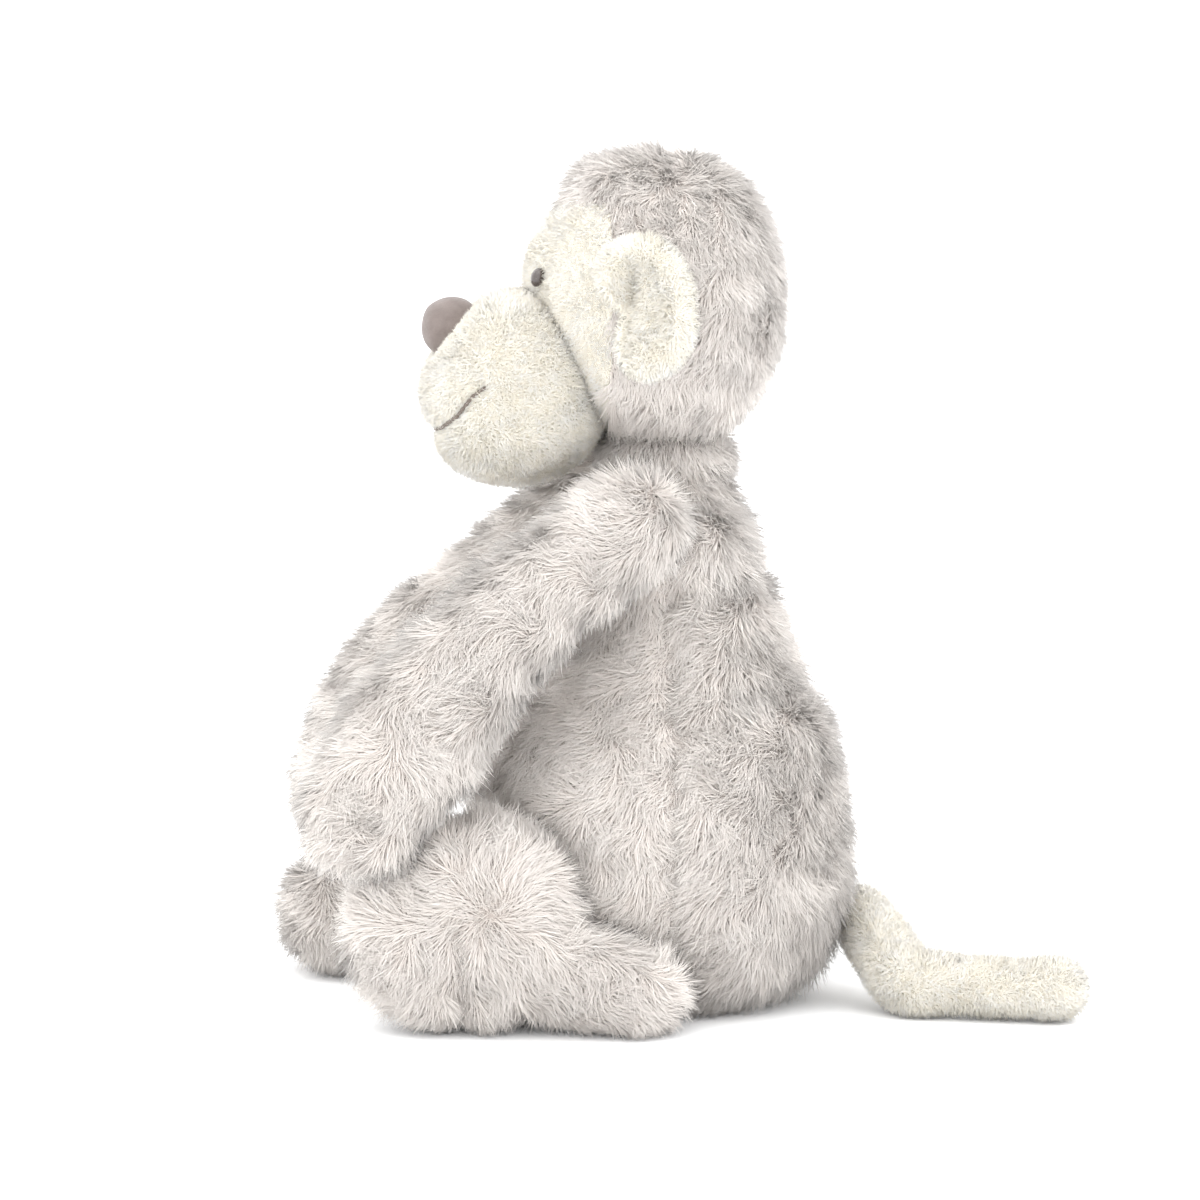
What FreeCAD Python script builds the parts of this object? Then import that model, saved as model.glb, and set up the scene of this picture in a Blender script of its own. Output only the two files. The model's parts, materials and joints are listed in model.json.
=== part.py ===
"""Stuffed monkey, sitting, sewn from plush panels over fibre filling, with a pouch of beans in its seat.

Millimetres. +Z is up, the face looks along -Y and the monkey's left side is +X. The origin is the centre
of the flat seat, on the surface that the monkey sits on. Every panel is a fabric wall of its own, every
filling is a solid inside its panels, and the limbs, ears, tail and head are separate bodies.
"""

import FreeCAD
import Part
import Sketcher

import math
import os

SIZES = {
    # Fabric and the room between one piece and the next.
    "wall": 1.6,
    "gap": 0.2,
    "thread": 0.6,
    # Torso: a ball with a cone tangent to it, flat where it sits.
    "torso_ball_radius": 42.5,
    "torso_ball_z": 38,
    "torso_neck_radius": 13.2,
    "torso_neck_z": 134,
    "seat_radius": 17,
    "back_seam_angle": 76,
    # Pouch of beans in the seat.
    "pouch_x": 0,
    "pouch_y": 0,
    "pouch_z": 15,
    "pouch_round": 25,
    "pouch_depth": 10.5,
    "pouch_edge": 5.5,
    "pouch_wall": 0.6,
    # Neck plug and the ring of stitching round it.
    "plug_radius": 11,
    "plug_bottom": 134.4,
    "plug_length": 3.2,
    # Head and the edges of its face panel.
    "head_x": 0,
    "head_y": -4,
    "head_z": 177,
    "head_round": 35.7,
    "head_depth": 28.5,
    "head_edge": 23,
    "face_edge_y": -17,
    "face_top_z": 200,
    # Muzzle, nose and mouth.
    "muzzle_radius": 22.5,
    "left_cheek_x": 3.5,
    "left_cheek_y": -40,
    "left_cheek_z": 154,
    "right_cheek_x": -3.5,
    "right_cheek_y": -40,
    "right_cheek_z": 154,
    "nose_radius": 7,
    "left_nostril_x": 2.5,
    "left_nostril_y": -56,
    "left_nostril_z": 170,
    "right_nostril_x": -2.5,
    "right_nostril_y": -56,
    "right_nostril_z": 170,
    "mouth_y": -53,
    "mouth_z": 147,
    "mouth_width": 48,
    "mouth_depth": 20,
    "mouth_tilt": 41,
    # Eyes: a dome on a shank, held by a washer.
    "eye_x": 10,
    "eye_z": 182.5,
    "eye_radius": 3,
    "eye_yaw": 13,
    "eye_pitch": 7,
    "shank_radius": 1,
    "shank_length": 5,
    "washer_radius": 4,
    "washer_thick": 1.2,
    # Ears, each two layers of one outline, turned out from the head.
    "ear_x": 40.6,
    "ear_y": -8,
    "ear_z": 178.5,
    "ear_radius": 12.5,
    "ear_rise": 6.2,
    "ear_layer": 1.8,
    "ear_turn": 32,
    # Arms, from the shoulder ball through a bent elbow to the hand ball.
    "arm_radius": 12.8,
    "left_shoulder_x": 34,
    "left_shoulder_y": -13,
    "left_shoulder_z": 123,
    "left_elbow_x": 40,
    "left_elbow_y": -45,
    "left_elbow_z": 100.5,
    "left_hand_x": 46,
    "left_hand_y": -79.5,
    "left_hand_z": 54.5,
    "right_shoulder_x": -34,
    "right_shoulder_y": -13,
    "right_shoulder_z": 123,
    "right_elbow_x": -40,
    "right_elbow_y": -45,
    "right_elbow_z": 99,
    "right_hand_x": -46,
    "right_hand_y": -79.5,
    "right_hand_z": 48,
    # Left leg, bent, with its knee up: a round foot and a thigh that narrows to the hip.
    "left_foot_x": 38,
    "left_foot_y": -52,
    "left_foot_z": 26,
    "left_foot_round": 25.8,
    "left_foot_depth": 15,
    "left_foot_edge": 9.5,
    "left_hip_x": 44.5,
    "left_hip_y": -12,
    "left_hip_z": 10,
    "left_hip_radius": 9.6,
    "left_knee_x": 40,
    "left_knee_y": -46,
    "left_knee_z": 20,
    "left_knee_radius": 13,
    "left_foot_seam_y": -55,
    "left_side_seam_x": 41,
    # Right leg, straighter, lower and further forward.
    "right_heel_x": -37,
    "right_heel_y": -70,
    "right_heel_z": 14,
    "right_toe_x": -37,
    "right_toe_y": -81,
    "right_toe_z": 14,
    "right_foot_radius": 13.7,
    "right_hip_x": -44.5,
    "right_hip_y": -17,
    "right_hip_z": 11.5,
    "right_hip_radius": 10.5,
    "right_knee_x": -38,
    "right_knee_y": -62,
    "right_knee_z": 13,
    "right_knee_radius": 12.5,
    "right_foot_seam_y": -78,
    "right_side_seam_x": -39.5,
    # Tail: down from the back to the floor, then along it.
    "tail_radius": 7,
    "tail_root_x": 3,
    "tail_root_y": 48.5,
    "tail_root_z": 21,
    "tail_bend_x": 28,
    "tail_bend_y": 56,
    "tail_bend_z": 8,
    "tail_tip_x": 38,
    "tail_tip_y": 92,
    "tail_tip_z": 8,
    "tail_tip_radius": 8,
}

SIDES = {"left": 1, "right": -1}
UP = (0, 0, 1)
ALONG_Y = (0, 1, 0)
ALONG_X = (1, 0, 0)

DOC = FreeCAD.newDocument("stuffed_monkey")
SHEET = DOC.addObject("Spreadsheet::Sheet", "Sizes")
NODES = []


def fill_sheet():
    """Writes every driving size into the sheet as a plain number with an alias."""
    for row, (alias, number) in enumerate(SIZES.items(), 1):
        SHEET.set(f"A{row}", alias)
        SHEET.set(f"B{row}", str(number))
        SHEET.setAlias(f"B{row}", alias)
    DOC.recompute()


def size(alias):
    """The sheet's number under this alias."""
    return float(SHEET.get(alias))


def point(place):
    """The point that the sheet keeps under PLACE_x, PLACE_y and PLACE_z."""
    return FreeCAD.Vector(*(size(f"{place}_{axis}") for axis in "xyz"))


def cell(alias):
    """How an expression names a cell of the sheet."""
    return f"Sizes.{alias}"


def bind(target, **expressions):
    """Binds properties of an object to expressions; in a keyword, __ stands for a dot."""
    for name, expression in expressions.items():
        target.setExpression(name.replace("__", "."), expression)
    return target


def put_at(target, place):
    """Binds an object's position to the point that the sheet keeps for this place."""
    for axis in "xyz":
        target.setExpression(f"Placement.Base.{axis}", cell(f"{place}_{axis}"))
    return target


def node(target, name):
    """Makes an object a sub-part: its label names its file."""
    target.Label = name
    NODES.append(target)
    return target


def combine(kind, name, base, tool):
    """A boolean of two objects: kind is Cut, Common or Fuse."""
    made = DOC.addObject(f"Part::{kind}", name)
    made.Base = base
    made.Tool = tool
    return made


def box(name, low, high):
    """A box between two corners, each three expressions."""
    made = DOC.addObject("Part::Box", name)
    for prop, axis, start, end in zip(("Length", "Width", "Height"), "xyz", low, high):
        made.setExpression(prop, f"({end}) - ({start})")
        made.setExpression(f"Placement.Base.{axis}", start)
    return made


def cylinder(name, radius, height, angle="360"):
    """A cylinder or a sector of one, standing on its own origin."""
    made = DOC.addObject("Part::Cylinder", name)
    return bind(made, Radius=radius, Height=height, Angle=angle)


def sketch_in(body, name, role="XZ_Plane"):
    """A sketch on an upright plane of a body, with its vertical axis along the body's Z."""
    plane = next(part for part in body.Origin.OriginFeatures if part.Role == role)
    made = body.newObject("Sketcher::SketchObject", name)
    made.AttachmentSupport = [(plane, "")]
    made.MapMode = "FlatFace"
    return made


def constrain(sketch, *constraints):
    """Adds constraints; one that ends in a name and an expression is bound to the sheet."""
    for parts in constraints:
        if isinstance(parts[-1], dict):
            *facts, bound = parts
            (name, expression), = bound.items()
            index = sketch.addConstraint(Sketcher.Constraint(*facts))
            sketch.renameConstraint(index, name)
            sketch.setExpression(f"Constraints.{name}", expression)
        else:
            sketch.addConstraint(Sketcher.Constraint(*parts))


def revolve(body, sketch, angle):
    """Turns a sketch about its vertical axis into the body's solid."""
    made = body.newObject("PartDesign::Revolution", f"{body.Name}_turned")
    made.Profile = sketch
    made.ReferenceAxis = (sketch, ["V_Axis"])
    made.Angle = angle
    body.Tip = made
    return body


def capsule(name, start, end, start_radius, end_radius, angle=360):
    """A tapered tube with ball ends between two places of the sheet, whole or half."""
    body = DOC.addObject("PartDesign::Body", name)
    axis = point(end) - point(start)
    steps = " + ".join(f"({cell(f'{end}_{a}')} - {cell(f'{start}_{a}')})^2" for a in "xyz")
    length, first, last = axis.Length, size("arm_radius"), size("arm_radius")
    sketch = sketch_in(body, f"{name}_outline")
    origin = FreeCAD.Vector(0, 0, 0)
    far = FreeCAD.Vector(0, length, 0)
    up = FreeCAD.Vector(0, 0, 1)
    sketch.addGeometry(Part.ArcOfCircle(Part.Circle(origin, up, first), -math.pi / 2, 0))
    sketch.addGeometry(Part.LineSegment(FreeCAD.Vector(first, 0, 0), FreeCAD.Vector(last, length, 0)))
    sketch.addGeometry(Part.ArcOfCircle(Part.Circle(far, up, last), 0, math.pi / 2))
    sketch.addGeometry(
        Part.LineSegment(FreeCAD.Vector(0, length + last, 0), FreeCAD.Vector(0, -first, 0))
    )
    constrain(
        sketch,
        ("Tangent", 0, 2, 1, 1),
        ("Tangent", 1, 2, 2, 1),
        ("Coincident", 2, 2, 3, 1),
        ("Coincident", 3, 2, 0, 1),
        ("Coincident", 0, 3, -1, 1),
        ("PointOnObject", 2, 3, -2),
        ("PointOnObject", 3, 1, -2),
        ("PointOnObject", 3, 2, -2),
        ("Radius", 0, first, {"start_radius": start_radius}),
        ("Radius", 2, last, {"end_radius": end_radius}),
        ("DistanceY", -1, 1, 2, 3, length, {"run": f"sqrt({steps})"}),
    )
    revolve(body, sketch, angle)
    body.Placement = FreeCAD.Placement(point(start), FreeCAD.Rotation(up, axis))
    return body


def oval(name, place, axis, inset="0"):
    """A round, flattened form about an axis: two wide arcs for its faces and a small one for its edge."""
    body = DOC.addObject("PartDesign::Body", name)
    sketch = sketch_in(body, f"{name}_outline")
    depth, reach, edge = (size(f"{place}_{part}") for part in ("depth", "round", "edge"))
    sink = ((reach - edge) ** 2 - (depth - edge) ** 2) / (2 * (depth - edge))
    lean = math.atan2(sink, reach - edge)
    up = FreeCAD.Vector(0, 0, 1)
    low_centre, high_centre = FreeCAD.Vector(0, sink, 0), FreeCAD.Vector(0, -sink, 0)
    edge_centre = FreeCAD.Vector(reach - edge, 0, 0)
    face = depth + sink
    sketch.addGeometry(Part.ArcOfCircle(Part.Circle(low_centre, up, face), -math.pi / 2, -lean))
    sketch.addGeometry(Part.ArcOfCircle(Part.Circle(edge_centre, up, edge), -lean, lean))
    sketch.addGeometry(Part.ArcOfCircle(Part.Circle(high_centre, up, face), lean, math.pi / 2))
    sketch.addGeometry(Part.LineSegment(FreeCAD.Vector(0, depth, 0), FreeCAD.Vector(0, -depth, 0)))
    half = f"{cell(place + '_depth')} - ({inset})"
    ring = f"{cell(place + '_round')} - {cell(place + '_edge')}"
    constrain(
        sketch,
        ("Tangent", 0, 2, 1, 1),
        ("Tangent", 1, 2, 2, 1),
        ("Coincident", 2, 2, 3, 1),
        ("Coincident", 3, 2, 0, 1),
        ("PointOnObject", 3, 1, -2),
        ("PointOnObject", 3, 2, -2),
        ("PointOnObject", 0, 3, -2),
        ("PointOnObject", 2, 3, -2),
        ("PointOnObject", 1, 3, -1),
        ("Radius", 1, edge, {"edge": f"{cell(place + '_edge')} - ({inset})"}),
        ("DistanceX", -1, 1, 1, 3, reach - edge, {"ring": ring}),
        ("DistanceY", -1, 1, 3, 1, depth, {"above": half}),
        ("DistanceY", 3, 2, -1, 1, depth, {"below": half}),
    )
    revolve(body, sketch, 360)
    body.Placement = FreeCAD.Placement(point(place), FreeCAD.Rotation(up, FreeCAD.Vector(*axis)))
    return put_at(body, place)


def pear(name, inset, bottom, top):
    """The torso's form, less an inset: a ball with a tangent cone, between two heights."""
    body = DOC.addObject("PartDesign::Body", name)
    sketch = sketch_in(body, f"{name}_outline")
    ball, middle = size("torso_ball_radius"), size("torso_ball_z")
    neck, height = size("torso_neck_radius"), size("torso_neck_z")
    floor = math.sqrt(ball**2 - middle**2)
    slope = math.asin(ball / math.hypot(neck, height - middle)) - math.atan(neck / (height - middle))
    touch = FreeCAD.Vector(ball * math.cos(slope), middle + ball * math.sin(slope), 0)
    centre, up = FreeCAD.Vector(0, middle, 0), FreeCAD.Vector(0, 0, 1)
    start = math.atan2(-middle, floor)
    sketch.addGeometry(Part.LineSegment(FreeCAD.Vector(0, 0, 0), FreeCAD.Vector(floor, 0, 0)))
    sketch.addGeometry(Part.ArcOfCircle(Part.Circle(centre, up, ball), start, slope))
    sketch.addGeometry(Part.LineSegment(touch, FreeCAD.Vector(neck, height, 0)))
    sketch.addGeometry(Part.LineSegment(FreeCAD.Vector(neck, height, 0), FreeCAD.Vector(0, height, 0)))
    sketch.addGeometry(Part.LineSegment(FreeCAD.Vector(0, height, 0), FreeCAD.Vector(0, 0, 0)))
    constrain(
        sketch,
        ("Coincident", 0, 2, 1, 1),
        ("Tangent", 1, 2, 2, 1),
        ("Coincident", 2, 2, 3, 1),
        ("Coincident", 3, 2, 4, 1),
        ("Coincident", 4, 2, 0, 1),
        ("Horizontal", 0),
        ("Horizontal", 3),
        ("PointOnObject", 0, 1, -2),
        ("PointOnObject", 4, 1, -2),
        ("PointOnObject", 1, 3, -2),
        ("DistanceY", -1, 1, 1, 3, middle, {"ball_height": cell("torso_ball_z")}),
        ("Radius", 1, ball, {"ball_radius": f"{cell('torso_ball_radius')} - ({inset})"}),
        ("DistanceX", -1, 1, 2, 2, neck, {"neck_radius": f"{cell('torso_neck_radius')} - ({inset})"}),
        ("DistanceY", -1, 1, 2, 2, height, {"top": top}),
        ("DistanceY", -1, 1, 0, 2, 0.0, {"bottom": bottom}),
    )
    return revolve(body, sketch, 360)


def sector(name, start, sweep):
    """A tall wedge round the Z axis, which takes one panel out of the torso's wall."""
    made = cylinder(name, f"2 * {cell('torso_ball_radius')}", f"2 * {cell('torso_neck_z')}", sweep)
    bind(made, Placement__Rotation__Angle=start)
    made.Placement.Rotation.Axis = FreeCAD.Vector(0, 0, 1)
    return made


def make_torso():
    """The torso's four panels, its filling and the pouch of beans."""
    wall, gap, top = cell("wall"), cell("gap"), cell("torso_neck_z")
    outer = pear("torso_outside", "0", "0", top)
    inner = pear("torso_inside", wall, wall, top)
    skin = combine("Cut", "torso_wall", outer, inner)
    plug = cylinder("seat_circle", cell("seat_radius"), f"2 * {wall}")
    node(combine("Common", "seat_cut", skin, plug), "seat_panel")
    sides = combine("Cut", "torso_sides", skin, plug)
    back = cell("back_seam_angle")
    wedges = {
        "torso_front_panel": ("180", "180"),
        "torso_back_left_panel": ("0", back),
        "torso_back_right_panel": (back, f"180 - {back}"),
    }
    for name, (start, sweep) in wedges.items():
        node(combine("Common", f"{name}_cut", sides, sector(f"{name}_wedge", start, sweep)), name)
    inset = f"{wall} + {gap}"
    stuffing = pear("torso_core", inset, inset, f"{top} - {gap}")
    room = oval("pouch_room", "pouch", UP, f"0 - {gap}")
    node(combine("Cut", "torso_stuffing", stuffing, room), "torso_fibrefill")
    pouch = oval("pouch_outside", "pouch", UP)
    hollow = oval("pouch_inside", "pouch", UP, cell("pouch_wall"))
    node(combine("Cut", "pouch_shell", pouch, hollow), "bean_pouch")
    node(oval("beans", "pouch", UP, f"{cell('pouch_wall')} + {gap}"), "bean_fill")


def make_neck():
    """The plug of fibre in the neck and the ring of stitching round it."""
    plug = cylinder("neck_plug", cell("plug_radius"), cell("plug_length"))
    bind(plug, Placement__Base__z=cell("plug_bottom"))
    node(plug, "neck_fibrefill")
    ring = DOC.addObject("Part::Torus", "neck_ring")
    bind(
        ring,
        Radius1=f"{cell('plug_radius')} + {cell('thread')} + {cell('gap')}",
        Radius2=cell("thread"),
        Placement__Base__z=f"{cell('plug_bottom')} + {cell('plug_length')} / 2",
    )
    node(ring, "neck_seam_thread")


def eye_piece(target, side, depth):
    """Stands a round piece along an eye's axis, which points into the head, at a depth below the skin."""
    sign = SIDES[side]
    yaw, pitch = math.radians(sign * size("eye_yaw")), math.radians(size("eye_pitch"))
    inward = FreeCAD.Vector(
        -math.sin(yaw) * math.cos(pitch), math.cos(yaw) * math.cos(pitch), -math.sin(pitch)
    )
    depth_of_face, ring, edge = size("head_depth"), size("head_round") - size("head_edge"), size("head_edge")
    sink = (ring**2 - (depth_of_face - edge) ** 2) / (2 * (depth_of_face - edge))
    off_axis = math.hypot(size("eye_x"), size("eye_z") - size("head_z"))
    forward = math.sqrt((depth_of_face + sink) ** 2 - off_axis**2) - sink
    skin = FreeCAD.Vector(sign * size("eye_x"), size("head_y") - forward, size("eye_z"))
    rotation = FreeCAD.Rotation(FreeCAD.Vector(0, 0, 1), inward)
    target.Placement = FreeCAD.Placement(skin + inward * depth, rotation)
    return target


def make_hair_and_face(skin):
    """Divides the head's wall into its two fur panels and the blank of the face panel."""
    wide, low, high = f"2 * {cell('head_round')}", f"0 - {cell('head_z')}", f"2 * {cell('head_z')}"
    corners = [f"0 - {wide}", f"0 - {wide}", low], [wide, cell("face_edge_y"), cell("face_top_z")]
    front = box("face_room", *corners)
    hair = combine("Cut", "head_hair", skin, front)
    for side, (start, end) in {"left": ("0", wide), "right": (f"0 - {wide}", "0")}.items():
        half = box(f"{side}_half", [start, f"0 - {wide}", low], [end, wide, high])
        node(combine("Common", f"{side}_hair", hair, half), f"head_{side}_panel")
    return combine("Common", "face_blank", skin, front)


def make_eye(side, clear, face, stuffing):
    """One eye and its washer; returns the face with its hole and the filling with its pocket."""
    wall, gap, shank = cell("wall"), cell("gap"), cell("shank_radius")
    outside, behind = -size("wall"), size("wall") + 2 * size("gap")
    hole = eye_piece(cylinder(f"{side}_hole", f"{shank} + {gap}", f"4 * {wall}"), side, outside)
    pocket = f"{cell('washer_radius')} + {gap}", f"{cell('shank_length')} + 2 * {gap}"
    room = cylinder(f"{side}_pocket", *pocket)
    ball = bind(DOC.addObject("Part::Sphere", f"{side}_ball"), Radius=cell("eye_radius"))
    dome = combine("Cut", f"{side}_dome", eye_piece(ball, side, 0), clear)
    post = eye_piece(cylinder(f"{side}_post", shank, f"{cell('shank_length')} + {wall}"), side, outside)
    node(combine("Fuse", f"{side}_eye_whole", dome, post), f"{side}_eye")
    thick = cell("washer_thick")
    disc = eye_piece(cylinder(f"{side}_disc", cell("washer_radius"), thick), side, behind)
    bore = eye_piece(cylinder(f"{side}_bore", f"{shank} + {gap}", f"3 * {thick}"), side, behind / 2)
    node(combine("Cut", f"{side}_ring", disc, bore), f"{side}_eye_washer")
    face = combine("Cut", f"face_with_{side}_hole", face, hole)
    return face, combine("Cut", f"stuffing_with_{side}_pocket", stuffing, eye_piece(room, side, 0))


def padded_bump(name, ends, radius, behind):
    """A stuffed form sewn on to another: its cover and its filling, both cut back to what is behind."""
    wall, gap = cell("wall"), cell("gap")
    outside = capsule(f"{name}_outside", *ends, radius, radius)
    inside = capsule(f"{name}_inside", *ends, f"{radius} - {wall}", f"{radius} - {wall}")
    core_radius = f"{radius} - {wall} - {gap}"
    core = capsule(f"{name}_core", *ends, core_radius, core_radius)
    skin = combine("Cut", f"{name}_wall", outside, inside)
    node(combine("Cut", f"{name}_skin", skin, behind), f"{name}_cover")
    node(combine("Cut", f"{name}_stuffing", core, behind), f"{name}_fibrefill")


def make_mouth(ends, clear):
    """The mouth's thread: a band just outside the muzzle, where the mouth's tilted plane crosses it."""
    radius = f"{cell('muzzle_radius')} + {cell('gap')} + {cell('thread')}"
    lip = combine("Cut", "mouth_band", capsule("mouth_outside", *ends, radius, radius), clear)
    slot = DOC.addObject("Part::Box", "mouth_slot")
    bind(slot, Length=cell("mouth_width"), Width=cell("mouth_depth"), Height=cell("thread"))
    tilt = FreeCAD.Rotation(FreeCAD.Vector(1, 0, 0), size("mouth_tilt"))
    corner = FreeCAD.Vector(-size("mouth_width") / 2, -size("mouth_depth") / 2, 0)
    middle = FreeCAD.Vector(0, size("mouth_y"), size("mouth_z"))
    slot.Placement = FreeCAD.Placement(middle + tilt.multVec(corner), tilt)
    node(combine("Common", "mouth_thread", lip, slot), "mouth_stitch")


def make_head():
    """The head's panels, filling, muzzle, nose, mouth and eyes."""
    wall, gap = cell("wall"), cell("gap")
    outer, inner = oval("head_outside", "head", ALONG_Y), oval("head_inside", "head", ALONG_Y, wall)
    clear = oval("head_clearance", "head", ALONG_Y, f"0 - {gap}")
    face = make_hair_and_face(combine("Cut", "head_wall", outer, inner))
    stuffing = oval("head_core", "head", ALONG_Y, f"{wall} + {gap}")
    for side in SIDES:
        face, stuffing = make_eye(side, clear, face, stuffing)
    node(face, "face_panel")
    node(stuffing, "head_fibrefill")
    cheeks, nostrils = ("left_cheek", "right_cheek"), ("left_nostril", "right_nostril")
    padded_bump("muzzle", cheeks, cell("muzzle_radius"), clear)
    fitted_radius = f"{cell('muzzle_radius')} + {gap}"
    fitted = capsule("muzzle_clearance", *cheeks, fitted_radius, fitted_radius)
    padded_bump("nose", nostrils, cell("nose_radius"), fitted)
    make_mouth(cheeks, fitted)


def ear_layer(name, side, face):
    """One layer of an ear: a tall round-ended outline, padded to one side of the ear's mid plane."""
    body = DOC.addObject("PartDesign::Body", name)
    sketch = sketch_in(body, f"{name}_outline", "YZ_Plane")
    radius, rise = size("ear_radius"), size("ear_rise")
    up = FreeCAD.Vector(0, 0, 1)
    high, low = FreeCAD.Vector(0, rise, 0), FreeCAD.Vector(0, -rise, 0)
    across = FreeCAD.Vector(radius, 0, 0)
    sketch.addGeometry(Part.ArcOfCircle(Part.Circle(high, up, radius), 0, math.pi))
    sketch.addGeometry(Part.LineSegment(high - across, low - across))
    sketch.addGeometry(Part.ArcOfCircle(Part.Circle(low, up, radius), math.pi, 2 * math.pi))
    sketch.addGeometry(Part.LineSegment(low + across, high + across))
    constrain(
        sketch,
        ("Tangent", 0, 2, 1, 1),
        ("Tangent", 1, 2, 2, 1),
        ("Tangent", 2, 2, 3, 1),
        ("Tangent", 3, 2, 0, 1),
        ("PointOnObject", 0, 3, -2),
        ("PointOnObject", 2, 3, -2),
        ("Radius", 0, radius, {"outline": cell("ear_radius")}),
        ("DistanceY", -1, 1, 0, 3, rise, {"above": cell("ear_rise")}),
        ("DistanceY", 2, 3, -1, 1, rise, {"below": cell("ear_rise")}),
    )
    pad = body.newObject("PartDesign::Pad", f"{name}_pad")
    pad.Profile = sketch
    pad.Reversed = face < 0
    bind(pad, Length=cell("ear_layer"))
    body.Tip = pad
    sign = SIDES[side]
    centre = FreeCAD.Vector(sign * size("ear_x"), size("ear_y"), size("ear_z"))
    body.Placement = FreeCAD.Placement(centre, FreeCAD.Rotation(up, -sign * size("ear_turn")))
    return body


def make_ears():
    """Two layers to each ear, the front one on the ear's outer face."""
    for side, sign in SIDES.items():
        for layer, face in (("front", sign), ("back", -sign)):
            node(ear_layer(f"{side}_{layer}_layer", side, face), f"{side}_ear_{layer}")


def half_room(name, base, lean, face):
    """A large box on one side of an upright plane through a point, to cut a limb in two along its length."""
    reach = 2 * size("torso_neck_z")
    room = DOC.addObject("Part::Box", name)
    bind(room, **dict.fromkeys(("Length", "Width", "Height"), f"4 * {cell('torso_neck_z')}"))
    corner = FreeCAD.Vector(0 if face > 0 else -2 * reach, -reach, -reach)
    room.Placement = FreeCAD.Placement(base + lean.multVec(corner), lean)
    return room


def arm_form(side, name, inset):
    """An arm as two tubes that share the ball at its elbow, less an inset."""
    radius = f"{cell('arm_radius')} - ({inset})"
    shoulder, elbow, hand = (f"{side}_{end}" for end in ("shoulder", "elbow", "hand"))
    upper = capsule(f"{side}_upper_arm_{name}", shoulder, elbow, radius, radius)
    lower = capsule(f"{side}_lower_arm_{name}", elbow, hand, radius, radius)
    return combine("Fuse", f"{side}_arm_{name}", upper, lower)


def make_arms():
    """Each arm's two panels, joined along its length, and its filling."""
    wall, gap = cell("wall"), cell("gap")
    for side, sign in SIDES.items():
        whole, hollow = arm_form(side, "outside", "0"), arm_form(side, "inside", wall)
        skin = combine("Cut", f"{side}_arm_wall", whole, hollow)
        shoulder = point(f"{side}_shoulder")
        run = point(f"{side}_hand") - shoulder
        lean = FreeCAD.Rotation(FreeCAD.Vector(0, 0, 1), math.degrees(math.atan2(run.x, -run.y)))
        for layer, face in (("outer", sign), ("inner", -sign)):
            room = half_room(f"{side}_arm_{layer}_room", shoulder, lean, face)
            node(combine("Common", f"{side}_arm_{layer}_half", skin, room), f"{side}_arm_{layer}_panel")
        node(arm_form(side, "core", f"{wall} + {gap}"), f"{side}_arm_fibrefill")


def leg_form(side, name, inset):
    """A leg's foot and thigh joined into one form, less an inset."""
    hip, knee = (f"{cell(f'{side}_{end}_radius')} - ({inset})" for end in ("hip", "knee"))
    thigh = capsule(f"{side}_thigh_{name}", f"{side}_hip", f"{side}_knee", hip, knee)
    if side == "left":
        foot = oval("left_foot_" + name, "left_foot", ALONG_X, inset)
    else:
        radius = f"{cell('right_foot_radius')} - ({inset})"
        foot = capsule("right_foot_" + name, "right_heel", "right_toe", radius, radius)
    return combine("Fuse", f"{side}_leg_{name}", foot, thigh)


def make_legs():
    """Each leg's foot cap, outer and inner panels, and filling."""
    wall, gap = cell("wall"), cell("gap")
    far = f"2 * {cell('torso_neck_z')}"
    near = f"0 - {far}"
    for side, sign in SIDES.items():
        whole, hollow = leg_form(side, "outside", "0"), leg_form(side, "inside", wall)
        skin = combine("Cut", f"{side}_leg_wall", whole, hollow)
        cap = box(f"{side}_foot_room", [near, near, near], [far, cell(f"{side}_foot_seam_y"), far])
        node(combine("Common", f"{side}_foot_cap", skin, cap), f"{side}_foot_panel")
        rest = combine("Cut", f"{side}_leg_sleeve", skin, cap)
        middle = cell(f"{side}_side_seam_x")
        for layer, face in (("outer", sign), ("inner", -sign)):
            start, end = (middle, far) if face > 0 else (near, middle)
            room = box(f"{side}_leg_{layer}_room", [start, near, near], [end, far, far])
            node(combine("Common", f"{side}_leg_{layer}_half", rest, room), f"{side}_leg_{layer}_panel")
        node(leg_form(side, "core", f"{wall} + {gap}"), f"{side}_leg_fibrefill")


def tail_form(name, inset):
    """The tail as two tubes that share the ball at its bend, less an inset."""
    radius, tip = f"{cell('tail_radius')} - ({inset})", f"{cell('tail_tip_radius')} - ({inset})"
    down = capsule(f"tail_down_{name}", "tail_root", "tail_bend", radius, radius)
    along = capsule(f"tail_along_{name}", "tail_bend", "tail_tip", radius, tip)
    return combine("Fuse", f"tail_{name}", down, along)


def make_tail():
    """The tail's folded cover and its filling."""
    wall, gap = cell("wall"), cell("gap")
    cover = combine("Cut", "tail_wall", tail_form("outside", "0"), tail_form("inside", wall))
    node(cover, "tail_cover")
    node(tail_form("core", f"{wall} + {gap}"), "tail_fibrefill")


def check():
    """Stops if any object failed or any sub-part isn't a valid solid."""
    DOC.recompute()
    for part in DOC.Objects:
        if {"Invalid", "Error"} & set(part.State):
            raise RuntimeError(f"{part.Name} failed: {part.State}")
    for part in NODES:
        if part.Shape.isNull() or not part.Shape.isValid() or not part.Shape.Solids:
            raise RuntimeError(f"{part.Label} is not a valid solid")


def export():
    """Writes each sub-part to parts/NODE.step."""
    os.makedirs("parts", exist_ok=True)
    for part in NODES:
        part.Shape.exportStep(f"parts/{part.Label}.step")
        print(f"{part.Label}: {part.Shape.Volume / 1000:.2f} cm3, {len(part.Shape.Solids)} solid")


fill_sheet()
make_torso()
make_neck()
make_head()
make_ears()
make_arms()
make_legs()
make_tail()
check()
export()
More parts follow.
